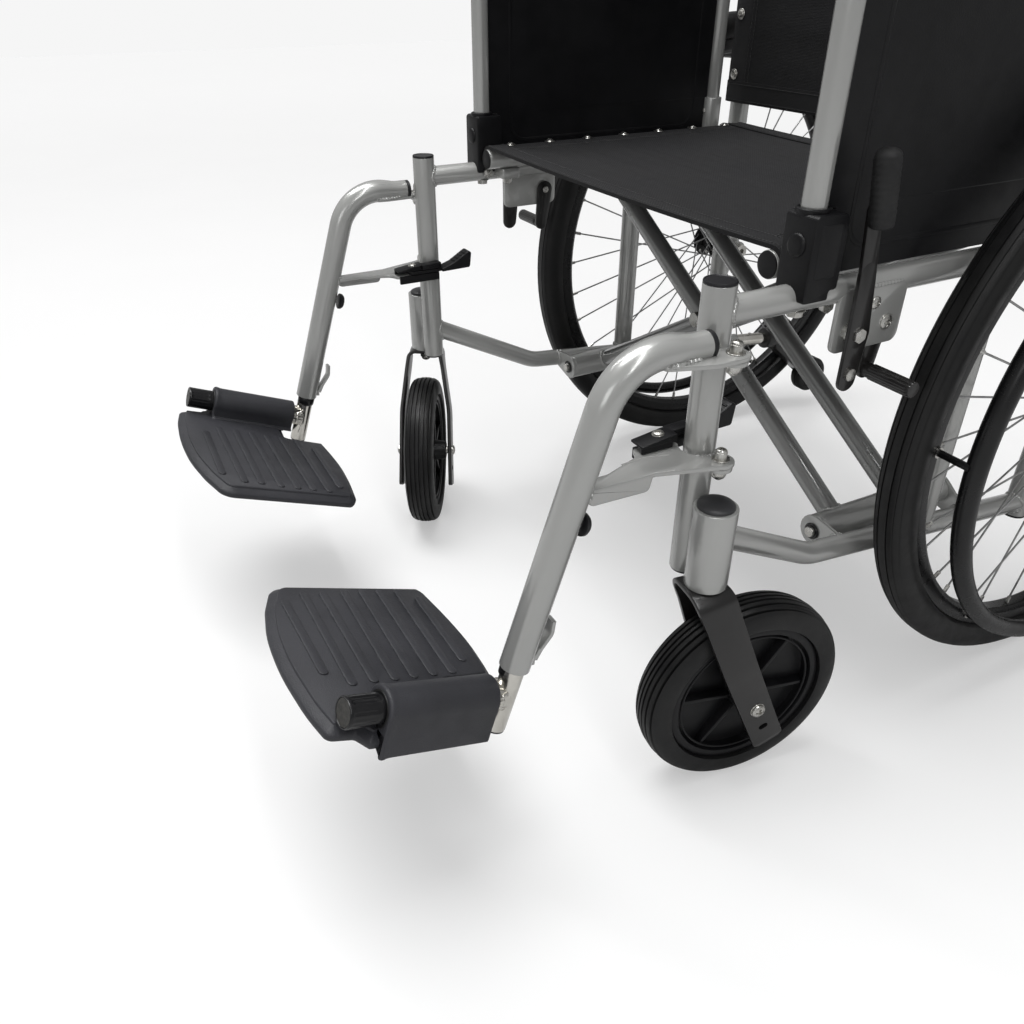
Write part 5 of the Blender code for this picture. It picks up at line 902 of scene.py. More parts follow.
def casterSet(make):
    c = caster
    centre = np.array([c["x"], c["trail"], c["z"]])
    fork, body = "caster_fork", "caster_wheel"
    turn = (c["turn"][make.side], (make.side * c["x"], 0))
    # the fork is one bent strap: down one side, over the crown and down the other
    hip, toe = np.array([-0.004, 0.2219]), np.array([0.0635, 0.07])
    down = unit(toe - hip)
    toeEnd = toe + down * 0.016
    f = c["forkHalf"]
    halves = np.array([f + 0.0018, f - 0.0003, 0.0202])  # the legs stand wider at the toe than at the crown
    leg = np.array([toeEnd, (0.028, 0.15), (-0.002, 0.2299)])
    corners = [(c["x"] - half, *place) for half, place in zip(halves, leg)] + [(c["x"] + half, *place) for half,
        place in zip(halves[::-1], leg[::-1])]
    path = filleted(corners, [0, 0.12, 0.014, 0.014, 0.12, 0], 16)
    path = placed(path, np.linspace(0, runOf(path)[-1], 220))
    share = np.clip((0.2299 - path[:, 2]) / 0.025, 0, 1)[:, None]
    across = (1 - share) * (0, 1.0, 0) + share * np.array([0, -down[1], down[0]])
    fromToe = (path[:, 2] - toeEnd[1]) / -down[1]
    width = np.interp(path[:, 2], [toe[1], 0.205, 0.2299], [0.0155, 0.0168, 0.0182])
    # the toe's rounded corners
    width = width - 0.0045 * (1 - np.sqrt(np.clip(1 - (1 - np.clip(fromToe / 0.0045, 0, 1)) ** 2, 0, 1)))
    shells = [strap(path, across, width, 0.0048, 0.0008)]
    shells.append(tube([(c["x"], 0, 0.2275), (c["x"], 0, 0.3002)], 0.008, 32))
    shells.append(washer((c["x"], 0, 0.2316), ez, 0.0135, 0.0006))
    nut = [hexHead((c["x"], 0, 0.2281), -ez, 0.008, 0.009, 0.0), roundHead((c["x"], 0, 0.2193), -ez, 0.006, 0.0062)]
    for sign in (1, -1):  # the long hole under the axle, drawn as a near-black plate of painted shade in place of its shadowed inside
        low, wide = np.array([0.0606, 0.0769]), np.array([-down[1], down[0]]) * 0.0018
        shells.append(plate(stadium(low - wide, 0.0028, low + wide, 0.0028), c["x"] + sign * (f + 0.0012) - 0.0027,
            c["x"] + sign * (f + 0.0012) + 0.0027, 0.0001, lengthwise, slot=1))
    make("forkStrap", shells, "blackPaint holeDark", fork, "caster_fork", turn=turn)
    make("forkNut", nut, "zinc", fork, turn=turn)

    half, r = c["half"], c["r"]
    outer = [(0.7, 0.0768), (0.97, 0.0775), (1.0, 0.0795), (1.0, 0.0835), (0.985, 0.088), (0.93, 0.0925),
        (0.88, 0.0946), (0.81, 0.0963), (0.785, 0.0946), (0.725, 0.0946), (0.7, 0.0977),
             (0.62, 0.0984), (0.51, 0.0989), (0.48, 0.0968), (0.41, 0.0968), (0.38, 0.0993), (0.27, 0.0997),
             (0.2, r), (0.17, 0.0979), (0.1, 0.0979), (0.07, r), (0.0, r)]
    outer = np.array(outer) * (half, 1)
    section = mirrored(outer)
    make("tyreCaster", [turned(section, centre, ex, 128, closed=True)], "tyreRubber", body, "caster_tyre",
        turn=turn, sharp=32)

    rimHalf = 0.0152
    inner = [(0.0268, 0.005), (0.0274, 0.006), (0.0276, 0.0105), (0.0268, 0.0122), (0.006, 0.015), (0.0037, 0.0165),
        (0.0035, 0.02), (0.0035, 0.064), (0.004, 0.0668),
             (0.0128, 0.069), (0.0148, 0.0694), (0.0152, 0.0702), (rimHalf, 0.0758), (0.0148, 0.0765)]
    inner = np.array(inner)
    profile = np.concatenate([inner * (-1, 1), inner[::-1]])
    hub = [turned(profile, centre, ex, 96)]
    for number in range(c["ribs"]):
        a = 2 * np.pi * number / c["ribs"] + np.radians(114)
        spokeAxes = np.array([[0, np.cos(a), np.sin(a)], [1.0, 0, 0], [0, -np.sin(a), np.cos(a)]])
        rib = filleted([(0.012, -0.0125), (0.0693, -0.0118), (0.0693, 0.0118), (0.012, 0.0125)], 0.0006, 3, True)
        hub.append(plate(rib, -0.0019, 0.0019, 0.0006, spokeAxes, centre))
    hub.append(ring(centre + (0.0128, 0, 0), 0.0655, 0.0012, 96, 10))
    make("hubCaster", hub, "blackPlastic", body, "caster_hub", turn=turn)

    out = centre + (f + 0.0024, 0, 0)
    bolt = [
        tube([centre * 2 - out, out], 0.0049, 24),
        washer(out, ex, 0.0074, 0.001), roundHead(out + (0.0008, 0, 0), ex, 0.0066, 0.0042),
        washer(centre * 2 - out, -ex, 0.0074, 0.001),
        hexHead(centre * 2 - out - (0.0008, 0, 0), -ex, 0.007, 0.0028, 0.0018),
    ]
    make("boltCaster", bolt, "zinc", fork, "caster_axle", turn=turn)


print("wheels and frame described")

hanger = {"x": 0.288, "foot": (-0.1741, 0.2015), "top": 0.443, "cornerY": -0.0933, "endY": -0.014, "r": 0.0127,
    "bend": 0.06, "lowPlate": 0.3443, "highPlate": 0.4313}
drop = np.array([0, -np.cos(np.radians(71.5)), -np.sin(np.radians(71.5))])
hangerFoot = np.array([hanger["x"], *hanger["foot"]])


def hangerSet(make):
    h, body = hanger, "hanger"
    x, hinge = h["x"], chair["hingeX"]
    path = filleted([(x, *h["foot"]), (x, h["cornerY"], h["top"]), (x, h["endY"] - 0.0055, h["top"])],
        h["bend"], 20)
    path = np.concatenate([path[:-1], np.linspace(path[-2], path[-1], 12)[1:]])
    swaged = np.clip((path[:, 1] + 0.056) / 0.026, 0, 1)  # the end is drawn in a little over its last centimetres
    swaged = swaged * swaged * (3 - 2 * swaged)
    path[:, 2] -= 0.0016 * swaged
    shells = [tube(path, h["r"] - 0.002 * swaged, 48, soft=0.0009)]
    low, high = h["lowPlate"], h["highPlate"]
    # the lower plate: its tongue, a scallop round the post, the round end at the pin and the edge that is bent down
    scallop = arc((chair["postX"], 0, 0), 0.0167, -128, -12, ex, ey, 12)[0][:, :2]
    pinEnd = arc((hinge, 0, 0), 0.011, 152, -38, ex, ey, 18)[0][:, :2]
    start = filleted([(0.2925, -0.056), (0.2925, -0.116), (0.2768, -0.116), (0.2766, -0.089), (0.264, -0.055),
        (0.2525, -0.05), (0.2525, -0.013), (0.2615, -0.0128)],
                     [0.0, 0.001, 0.001, 0.01, 0.01, 0.004, 0.003, 0.0], 6)
    shells.append(plate(np.concatenate([start, scallop, pinEnd]), low, low + 0.004, 0.001))
    flange = filleted([(-0.115, low + 0.0036), (-0.115, low - 0.01), (-0.061, low - 0.0112),
        (-0.0575, low + 0.0036)], [0.001, 0.006, 0.005, 0.002], 6, True)
    shells.append(plate(flange, x + 0.001, x + 0.0047, 0.0014, lengthwise, steps=4))
    crease = filleted([(a, b, low + 0.0041) for a, b in ((0.2705, -0.072), (0.268, -0.05), (0.2738, -0.031))],
        0.02, 10)
    shells.append(strap(crease, ex, 0.0009, 0.0007, 0.0003))
    # the upper plate: a longer triangle under the tube, with a heavy weld along each side and round its tip
    upper = filleted([(0.2785, -0.044), (0.2805, -0.06), (0.2975, -0.06), (0.31, -0.023), (0.3095, 0.011),
        (0.2875, 0.011), (0.28, -0.013)],
                     [0.006, 0.006, 0.006, 0.02, 0.0105, 0.0105, 0.01], 8, True)
    shells.append(plate(upper, high, high + 0.004, 0.001))
    for sign, radius, pitch in ((1, 0.0023, 0.0042), (1, 0.0017, 0.0029), (-1, 0.0016, 0.0035)):
        off = 0.35 * radius
        line = np.linspace((x + sign * (0.0106 + off), -0.0575, high + 0.0042),
            (x + sign * (0.0078 + off), -0.029, high + 0.0042), 60)
        shells.append(bead(line + 0.0003 * np.sin(np.arange(60)[:, None] * (0.9, 0.0, 0.6)), ez,
            radius, False, pitch))
    tip = np.linspace(0, np.pi, 40)
    shells.append(bead(np.stack([x + 0.01 * np.cos(tip), -0.0585 - 0.002 * np.sin(tip), np.full(40, high + 0.0036)],
        -1), ez, 0.0015, False))
    hy, hz = h["foot"][0] + 0.018, h["foot"][1]
    hookPath = filleted([(x, hy - 0.001, hz + 0.003), (x, hy + 0.0045, hz + 0.0125), (x, hy + 0.0135, hz + 0.0235),
        (x, hy + 0.0152, hz + 0.0358)], 0.01, 10)
    shells.append(strap(hookPath, ex, np.linspace(0.0046, 0.005, len(hookPath)), 0.0034, 0.0008))
    shells.append(strap(np.array([(x, hy - 0.0035, hz - 0.001), (x, hy - 0.003, hz + 0.003),
        (x, hy + 0.0004, hz + 0.0075), (x, hy + 0.0034, hz + 0.0125)]), ex, 0.0045, 0.0033, 0.0008))
    ringAt = lambda z: np.array([x, h["foot"][0] + (z - h["foot"][1]) / 2.9887, z])
    for z in (low, low + 0.004):
        shells.append(bead(*arc(ringAt(z), h["r"] + 0.0004, 40, 140, ex, ey, 60), 0.0015, False))
    make("hangerTube", shells, "silverPaint", body, "hanger")

    blacks = [
        turned([(-0.001, 0.009), (0.0, 0.0105), (0.0036, 0.0105), (0.0044, 0.0096), (0.005, 0.004),
            (0.0051, 0.0004)], (x, h["endY"] - 0.0055, h["top"] - 0.0016), ey, 40),
        turned([(0, 0.0088), (0.0004, 0.0094), (0.003, 0.0092), (0.0052, 0.0074), (0.0062, 0.004),
            (0.0064, 0.0004)], (x - 0.001, -0.118, 0.3184), unit((0.0, 1.0, -0.33)), 32),
    ]
    make("hangerTrim", blacks, "satinPlastic", body)
    for name, top in (("lower", low), ("upper", high)):
        seat = top + 0.004
        pin = [
            washer((hinge, 0, seat + 0.0001), ez, 0.0072, 0.0009),
            tube([(hinge, 0, seat), (hinge, 0, seat + 0.0068)], 0.0048, 32, soft=0.0005),
            roundHead((hinge, 0, seat + 0.006), ez, 0.0045, 0.0038),
            tube([(hinge, 0, seat), (hinge, 0, seat - 0.0083)], 0.004, 24),
            tube([(hinge, 0, seat - 0.0083), (hinge, 0, seat - 0.017)], 0.003, 20, soft=0.0008),
            turned([(0, 0.0058), (0.0006, 0.0064), (0.0034, 0.0062), (0.0066, 0.005), (0.0074, 0.0038)],
                (hinge, 0, seat - 0.0084), -ez, 40),
        ]
        make("hingeBolt_" + name, pin, "zinc", "frame", "hinge_pin_" + name)


latch = {"x": 0.2563, "y": -0.0293, "low": 0.3486}


def latchSet(make):
    l = latch
    base = l["low"]
    # the cover is a channel that rises from its front end towards the post, over the lever's pivot
    front = [(-0.05, base + 0.0043), (-0.0165, base + 0.0043), (-0.0165, base + 0.0108), (-0.023, base + 0.0104),
        (-0.05, base + 0.0066)]
    rear = [(-0.019, base + 0.0045), (0.0065, base + 0.0045), (0.0065, base + 0.0114), (-0.019, base + 0.0106)]
    block = [
        plate(filleted(front, [0.001, 0.001, 0.001, 0.01, 0.001], 5, True), 0.249, 0.2655, 0.001, lengthwise),
        plate(filleted(rear, 0.0008, 3, True), 0.2475, 0.259, 0.001, lengthwise),
        box((0.2623, -0.0498, base - 0.0001), (0.2653, -0.02, base + 0.0056), 0.0006, 0.0012),
        box((0.249, -0.048, base - 0.01), (0.253, 0.004, base - 0.0008), 0.0005, 0.0012),
        tube([(l["x"], l["y"], base), (l["x"], l["y"], base + 0.0096)], 0.003, 20),
        washer((l["x"], l["y"], base + 0.0093), (0, -0.12, 1), 0.005, 0.0008, slot=1),
        roundHead((l["x"], l["y"], base + 0.0099), (0, -0.12, 1), 0.0044, 0.0024, slot=1),
    ]
    make("latchBlock", block, "blackPlastic zinc", "hanger", "latch_block")
    # the thumb paddle: a wedge that rises away from the strap, ribbed on top
    wedge = filleted([(0.006, base + 0.0002), (0.044, base + 0.001), (0.0462, base + 0.0195),
        (0.042, base + 0.0215), (0.0215, base + 0.0095), (0.006, base + 0.0045)],
                     [0.001, 0.003, 0.003, 0.003, 0.01, 0.001], 6, True)
    lever = [plate(stadium((0.2548, -0.0293), 0.0065, (0.2523, 0.0167), 0.0045), base, base + 0.004, 0.0008),
        plate(wedge, 0.243, 0.259, 0.0016, lengthwise, steps=4)]
    for k in range(4):
        y = 0.0235 + k * 0.0046
        lever.append(tube([(0.2452, y, base + 0.0095 + (y - 0.0215) * 0.585),
            (0.2568, y, base + 0.0095 + (y - 0.0215) * 0.585)], 0.001, 10, soft=0.0004))
    make("latchLever", lever, "blackPlastic", "latch_lever", "latch_lever")


heel = {"front": (0.2979, -0.3155, 0.2267), "length": 0.14097, "r": 0.0122, "plateTop": -0.0145,
    "plateThick": 0.013, "housingR": 0.017, "housing": (0.032, 0.1275),
        "outline": ((-0.013, 0.118), (-0.013, 0.022), (-0.001, 0.015), (0.001, -0.006), (0.03, -0.0105),
            (0.082, -0.0115), (0.13, -0.0055), (0.17, 0.007), (0.2036, 0.023), (0.1938, 0.169), (0.182, 0.1755),
            (0.14, 0.178), (0.1, 0.1775), (0.064, 0.172), (0.04, 0.167), (0.04, 0.118)),
        "corner": (0.003, 0.003, 0.003, 0.008, 0.2, 0.3, 0.2, 0.1, 0.018, 0.009, 0.05, 0.3, 0.3, 0.1, 0.005, 0.003)}
heelAlong = np.array([-0.080013, 0.929779, -0.359317])
heelAcross = unit(np.cross(ez, heelAlong))
heelUp = np.array([-0.03081, 0.35799, 0.93322])
heelAxes = np.stack([heelAcross, heelAlong, heelUp])


def heelPoint(across, along, up):
    return np.array(heel["front"]) + across * heelAcross + along * heelAlong + up * heelUp


def extensionSet(make):
    end = hangerFoot + drop * 0.0595
    shells = [
        tube([hangerFoot - drop * 0.11, end], 0.0095, 40, soft=0.0008),
        tube([heelPoint(0, 0.03, 0), heelPoint(0, heel["length"], 0)], heel["r"], 40, soft=0.0008),
    ]
    shells.append(jointBead(heelPoint(0, heel["length"] - 0.008, 0), heelAlong, drop, 0.0116, 0.01, 0.0016))
    for s in (-0.052, -0.032, -0.012):  # the holes that set the height, dark discs of painted shade in place of their shadowed insides, that show when it is drawn out
        shells.append(turned([(0.0088, 0.0026), (0.00962, 0.0026), (0.00962, 0.0004)], hangerFoot + drop * s,
            np.array([0.0, -1.0, 0.3173 / 0.9483]), 20, slot=2))
    plug = turned([(-0.001, 0.0085), (0.0, 0.0093), (0.0012, 0.0091), (0.0022, 0.007), (0.0024, 0.0004)],
        end, drop, 32, slot=1)
    # the black collar under the hanger's end, which slides up inside it
    bush = [(-0.003, 0.0085), (0.0, 0.0104), (0.008, 0.01), (0.0098, 0.0088), (0.0102, 0.003)]
    bush = turned(bush, hangerFoot + drop * 0.0004 - (0.0019, 0, 0), drop, 32, slot=1)
    # the heel tube's end cap: fine flutes round it, radius - depth * sin(flutes * t)^2, and a paler disc in its end
    fluted = lambda alongs, radius, turn: radius - np.where((alongs > 0.0035) & (alongs < 0.024),
        0.0004 * np.sin(9 * turn) ** 2, 0) * (radius > 0.011)
    rows = [(0.031, 0.0106), (0.031, 0.0121), (0.0255, 0.0122)] + [(s, 0.0122)
        for s in np.linspace(0.024, 0.0036, 12)] + [(0.003, 0.0122), (0.0006, 0.0121), (0.0, 0.0117),
        (0.0001, 0.011), (0.0007, 0.0106)]
    cap = turned(rows, heelPoint(0, 0, 0), heelAlong, 108, wave=fluted, slot=1)
    disc = turned([(0.0008, 0.0105), (0.0003, 0.0103), (0.0002, 0.006), (0.0002, 0.0004)], heelPoint(0, 0, 0),
        heelAlong, 48, slot=3)
    seat = heelPoint(0, heel["length"] - 0.002, 0) + unit(heelUp) * 0.0102
    bolt = [washer(seat, heelUp, 0.0062, 0.001, slot=4),
        hexHead(seat + heelUp * 0.0008, heelUp, 0.0052, 0.003, 0.0012, slot=4)]
    make("extensionTube", shells + [plug, bush, cap, disc] + bolt, "chrome glossPlastic tyreRubber dustyMetal zinc",
        "extension", "extension_tube")


# each rib's two ends on the tread, across and along the heel tube
tread = {"height": 0.0015, "half": 0.0041,
    "ribs": ((0.0636, 0.0166, 0.1729, 0.0231), (0.0466, 0.0338, 0.1859, 0.0452), (0.0475, 0.0534, 0.185, 0.0637),
    (0.0474, 0.0723, 0.1863, 0.0854),
                                                   (0.0481, 0.0904, 0.1861, 0.1038),
                                                   (0.0488, 0.1092, 0.1853, 0.1219),
                                                   (0.0489, 0.1282, 0.1844, 0.1411),
                                                   (0.0644, 0.148, 0.1701, 0.157))}


def footplate(make):
    h = heel
    top, low = h["plateTop"], h["plateTop"] - h["plateThick"]
    origin = np.array(h["front"])
    rows = [(0.004, low), (0.0012, low + 0.001), (0.0, low + 0.0035), (0.0, top - 0.0072), (0.001, top - 0.0057),
        (0.0072, top - 0.0022), (0.0074, top - 0.0005), (0.008, top)]
    shells = [layered(h["outline"], rows, heelAxes, origin, corner=h["corner"], steps=9)]
    for u0, s0, u1, s1 in tread["ribs"]:
        rib = stadium((u0 + tread["half"], s0), tread["half"], (u1 - tread["half"], s1), tread["half"], 16)
        shells.append(layered(rib, [(0, top - 0.0008), (0, top + 0.0009), (0.0003, top + 0.0012),
            (0.001, top + tread["height"])], heelAxes, origin))
    # the housing that turns on the heel tube: a round back that runs straight down into the skirt, with a fillet to
    # the plate
    r, (start, end) = h["housingR"], h["housing"]
    over = np.radians(np.linspace(-38, 178, 40))
    section = np.concatenate([
        [(0.0215, top - 0.001), (0.019, top + 0.0004), (0.0168, top + 0.0018)],
        r * np.stack([np.cos(over), np.sin(over)], -1)[4:],
        [(-0.0172, -0.01), (-0.0176, -0.02), (-0.0182, -0.03), (-0.018, -0.0318), (-0.0168, -0.0325),
            (-0.0154, -0.0318), (-0.015, -0.03), (-0.014, -0.016), (0.0, top - 0.0015)],
    ])
    rows = [(0.0022, start - 0.003), (0.0004, start - 0.003), (-0.0006, start - 0.0022), (-0.001, start - 0.0008),
        (-0.0008, start + 0.001), (-0.0002, start + 0.0034), (0, start + 0.007), (0, end - 0.0016),
        (0.0004, end - 0.0005), (0.0014, end)]
    shells.append(layered(section, rows, np.stack([heelAcross, heelUp, heelAlong]), origin))
    # painted shade: a thin ring in the dark rubber finish stands for the shadowed gap between the cap and the
    # housing
    gap = turned([(0.0, 0.0126), (0.0, 0.0139), (0.0006, 0.0142), (0.0012, 0.0139), (0.0012, 0.0126)],
        heelPoint(0, start - 0.0038, 0), heelAlong, 56, closed=True, slot=1)
    shells.append(gap)
    # ribs moulded under the plate
    for k in range(5):
        s0 = 0.012 + 0.03 * k
        shells.append(plate([(0.02, s0), (0.165, s0 + 0.008), (0.165, s0 + 0.0105), (0.02, s0 + 0.0025)],
            low - 0.003, low + 0.001, 0.0006, heelAxes, origin))
    make("footTread", shells, "mouldedGrey tyreRubber", "footplate", "footplate", sharp=44)


arm = {"front": 0.078, "rear": 0.425, "top": 0.7, "foot": 0.471, "r": 0.0095, "bend": 0.04, "padHalf": 0.027,
    "pad": (0.058, 0.44, 0.7098), "saddles": (0.118, 0.385)}


def armrest(make):
    a, x, body = arm, chair["postX"], "armrest"
    path = filleted([(x, a["front"], a["foot"]), (x, a["front"], a["top"]), (x, a["rear"], a["top"]),
        (x, a["rear"], a["foot"])], a["bend"], 14)
    make("armTube", [tube(path, a["r"], 36)], "silverPaint", body, "arm_frame")
    fasteners = [roundHead((x, y, a["top"] - a["r"] + 0.0004), -ez, 0.0052, 0.0026) for y in a["saddles"]]
    make("armScrews", fasteners, "zinc", body)
    # the board under the pad, and the two saddles that screw it to the tube
    y0, y1, z0 = a["pad"]
    board = [(x - 0.0245, y0 + 0.003), (x + 0.0245, y0 + 0.003), (x + 0.0245, y1 - 0.003), (x - 0.0245, y1 - 0.003)]
    under = [layered(board, [(0.0008, z0), (0, z0 + 0.0008), (0, z0 + 0.0034), (0.0008, z0 + 0.0042)],
        corner=0.0155)]
    for y in a["saddles"]:
        saddle = filleted([(x - 0.013, z0 + 0.001), (x - 0.0118, z0 - 0.008), (x + 0.0118, z0 - 0.008),
            (x + 0.013, z0 + 0.001)], [0.001, 0.004, 0.004, 0.001], 5, True)
        under.append(plate(saddle, y - 0.016, y + 0.016, 0.0012, crosswise))
    # the skirt guard: a thin sheet with a rolled border and a pressed field
    front, rear, block, socket = a["front"] + a["r"] + 0.0003, a["rear"] - a["r"] - 0.0003, 0.0983, 0.412
    shelf, top, corner = 0.5203, a["top"] - a["r"] - 0.0003, 0.03
    guard = [(block, 0.4705), (socket, 0.4705), (socket, shelf), (rear, shelf), (rear, top), (front, top),
        (front, shelf), (block, shelf)]
    radii = (0.005, 0.005, 0.0015, 0.0015, corner * 1.2, corner * 1.2, 0.0015, 0.0015)
    panel = [layered(guard, [(0.0006, x - 0.0015), (0, x - 0.0009), (0, x + 0.0009), (0.0006, x + 0.0015)],
        lengthwise, corner=radii)]
    field = [(block + 0.016, 0.4865), (socket - 0.016, 0.4865), (socket - 0.016, top - 0.02),
        (block + 0.016, top - 0.02)]
    for sign in (1, -1):
        face = x + sign * 0.0015
        rows = [(0, face - sign * 0.0004), (0.0006, face + sign * 0.0004), (0.003, face + sign * 0.0006),
            (0.0042, face + sign * 0.0001), (0.005, face - sign * 0.0003)]
        panel.append(layered(field, rows, lengthwise, corner=0.022))
    make("skirtGuard", panel, "blackPlastic", body, "side_panel")
    make("armBoard", under, "blackPlastic", body)
    # the socket that takes the arm's front leg: a saddle over the top tube, with its knob and bolt
    front = a["front"]
    saddle = [(front - 0.0125, 0.4566), (front + 0.0125, 0.4566), (front + 0.0125, 0.464), (front + 0.0203, 0.464),
        (front + 0.0203, 0.52), (front - 0.0125, 0.52)]
    radii = (0.003, 0.002, 0.002, 0.003, 0.005, 0.004)
    rows = [(0.0014, 0.2592), (0.0004, 0.2598), (0, 0.261), (0, 0.2887), (0.0004, 0.2899), (0.0014, 0.2905)]
    sock = [layered(saddle, rows, lengthwise, corner=radii),
        layered([(front - 0.007, 0.474), (front + 0.015, 0.474), (front + 0.015, 0.514), (front - 0.007, 0.514)],
        [(0, 0.29), (0.0004, 0.2906), (0.001, 0.2908)], lengthwise, corner=0.003)]
    sock.append(turned([(-0.003, 0.0115), (0.0, 0.0128), (0.0022, 0.0126), (0.003, 0.0112), (0.0026, 0.0101),
        (-0.003, 0.0101)], (x, front, 0.52), ez, 40, closed=True))
    sock.append(turned([(-0.001, 0.009), (0.0008, 0.0088), (0.002, 0.0078), (0.0026, 0.0056), (0.0028, 0.0004)],
        (0.2745, front - 0.0125, 0.4975), -ey, 40))
    sock += [hexHead((0.2592, front, 0.4565), -ex, 0.0062, 0.003, 0.0018, slot=1)]
    make("armSaddle", sock, "blackPlastic zinc", "frame", "arm_socket")


lock = {"leverX": 0.2911, "shoe": (0.1643, 0.383)}


def wheelLock(make):
    pivot, x = t["lockPin"], lock["leverX"]
    lobe, elbow, low = (0.126, 0.386), (0.124, 0.474), (0.118, 0.51)
    lever = [
        plate(stadium(lobe, 0.009, pivot, 0.011), x + 0.0001, x + 0.0039, 0.0007, lengthwise),
        plate(stadium(pivot, 0.011, elbow, 0.008), x, x + 0.004, 0.0007, lengthwise),
        plate(stadium(elbow, 0.008, (low[0], low[1] + 0.01), 0.007), x + 0.0002, x + 0.0038, 0.0007, lengthwise),
        turned([(0, 0.0034), (0.0002, 0.0052), (0.003, 0.0052), (0.0036, 0.004)],
            (x + 0.004 - 0.0004, lobe[0], lobe[1] + 0.006), ex, 28, slot=2),
    ]
    lean = (low[0] - elbow[0]) / (low[1] - elbow[1])
    gripAxis = unit([0, lean, 1.0])
    run = np.linspace(0, 1, 60)
    body = 0.009 + 0.0005 * np.abs(np.sin(run * 9 * np.pi)) ** 0.5
    profile = [(0, 0.0064), (0.0004, 0.0084), (0.0016, 0.0092)] + list(zip(0.003 + run * 0.0455, body))
    a = np.linspace(0.1, np.pi / 2 - 0.03, 8)
    profile += list(zip(0.049 + 0.006 * np.sin(a), 0.0093 * np.cos(a)))
    lever.append(turned(profile, (x + 0.01, *low), gripAxis, 44, slot=1))
    make("lockHandle", lever, "blackPaint gripRubber zinc", "lock_lever", "lock_lever")
    sp, shoe = t["shoePin"], lock["shoe"]
    knurl = lambda alongs, radius, turn: radius - np.where(alongs > 0.01, 0.0004 * np.sin(10 * turn) ** 2, 0)
    bar = [(0, 0.005), (0.0004, 0.0062), (0.01, 0.0062), (0.0104, 0.0068)] + [(s, 0.007)
        for s in np.linspace(0.011, 0.052, 14)] + [(0.053, 0.0064), (0.0534, 0.003), (0.0534, 0.0004)]
    arms = [plate(stadium(sp, 0.01, shoe, 0.008), 0.2755, 0.2795, 0.0007, lengthwise),
        turned(bar, (0.2756, *shoe), ex, 80, wave=knurl)]
    arms.append(plate(stadium(sp, 0.0032, shoe, 0.0026), 0.27515, 0.2758, 0.0003, lengthwise))
    make("lockShoe", arms, "blackPaint", "lock_shoe", "lock_shoe")


tipper = {"insert": 0.07, "shown": 0.08, "r": 0.0095, "blockR": 0.0165, "wheel": (0.708, 0.062), "wheelR": 0.03,
    "half": 0.011, "cheek": 0.004}


def antiTipper(make):
    p, x = tipper, chair["postX"]
    railEnd = np.array([x, t["rail"][2][0], t["rail"][2][1]])
    end = railEnd + railAlong * p["shown"]
    tip, axle = np.array([end[1] + 0.014, end[2] - 0.006]), np.array(p["wheel"])
    inner = p["half"] + 0.0003
    outer = inner + p["cheek"]
    reach = axle - tip
    shoulder = tip + unit(reach) * (np.linalg.norm(reach) - p["wheelR"] - 0.006)
    shells = [
        tube([railEnd - railAlong * p["insert"], end], p["r"], 36, slot=1),
        tube([end - railAlong * 0.018, end + railAlong * 0.012], p["blockR"], 44, soft=0.0022),
        plate(stadium(tip, p["blockR"] * 0.95, shoulder, 0.012), x - outer + 0.0003, x + outer - 0.0003, 0.002,
            lengthwise, steps=4),
    ]
    for low in (-outer, inner):
        shells.append(plate(stadium(shoulder, 0.012, axle, 0.01, 20), x + low, x + low + p["cheek"], 0.0009,
            lengthwise))
    for sign in (1, -1):
        shells.append(roundHead((x + sign * outer, *axle), (sign, 0, 0), 0.0052, 0.0024, slot=2))
    button = railEnd + railAlong * 0.03  # the sprung pin that holds the tube at its length
    shells.append(turned([(0.0, 0.0028), (0.0096, 0.0028), (0.0106, 0.0024), (0.0112, 0.001), (0.0113, 0.0003)],
        button, (0, 0.1055, 0.994), 20, slot=2))
    make("tipperArm", shells, "blackPaint chrome zinc", "anti_tipper", "anti_tipper")
    half, r = p["half"], p["wheelR"]
    disc = [(-half + 0.0006, 0.0045), (-half, 0.006), (-half, 0.0095), (-half + 0.003, 0.011),
        (-half + 0.003, 0.02), (-half, 0.0216), (-half, r - 0.0034), (-half + 0.001, r - 0.0012),
            (-half + 0.0032, r), (-0.0012, r), (-0.0008, r - 0.0008), (0.0008, r - 0.0008), (0.0012, r),
            (half - 0.0032, r), (half - 0.001, r - 0.0012), (half, r - 0.0034), (half, 0.0216),
            (half - 0.003, 0.02), (half - 0.003, 0.011), (half, 0.0095), (half, 0.006), (half - 0.0006, 0.0045)]
    make("tipperWheel", [turned(disc, (x, *axle), ex, 72)], "tyreRubber", "anti_tipper_wheel", "anti_tipper_wheel")


parts = (frameSide, frameCaps, pushGrip, rearWheel, casterSet, hangerSet, latchSet, extensionSet, footplate,
    armrest, wheelLock, antiTipper)
for side, tag in sides:
    for part in parts:
        part(maker(side, tag))
    print("made the", tag, "half")
braceHalf("brace_a", "brace_a", 0.225, 1)
braceHalf("brace_b", "brace_b", 0.248, -1)
crossBolt("cross_bolt_front", 0.2136)
crossBolt("cross_bolt_rear", 0.3026)
print("made the braces")


stitch = {"step": 0.0042, "gap": 0.35, "r": 0.00042}


def stitches(path):
    # a thread cut into dashes: points at equal steps along the path, joined in pairs that leave a gap
    starts = np.arange(0, runOf(path)[-1] - stitch["step"], stitch["step"])
    ends = starts + stitch["step"] * (1 - stitch["gap"])
    return manyTubes(placed(path, starts), placed(path, ends), stitch["r"], 5)


seat = {"railX": brace["railX"], "railZ": brace["railZ"], "hug": 0.0125, "wrap": 35, "front": 0.072,
    "rear": brace["rear"], "sag": 0.0045, "thick": 0.0022, "hem": 0.024, "hemThick": 0.0014}


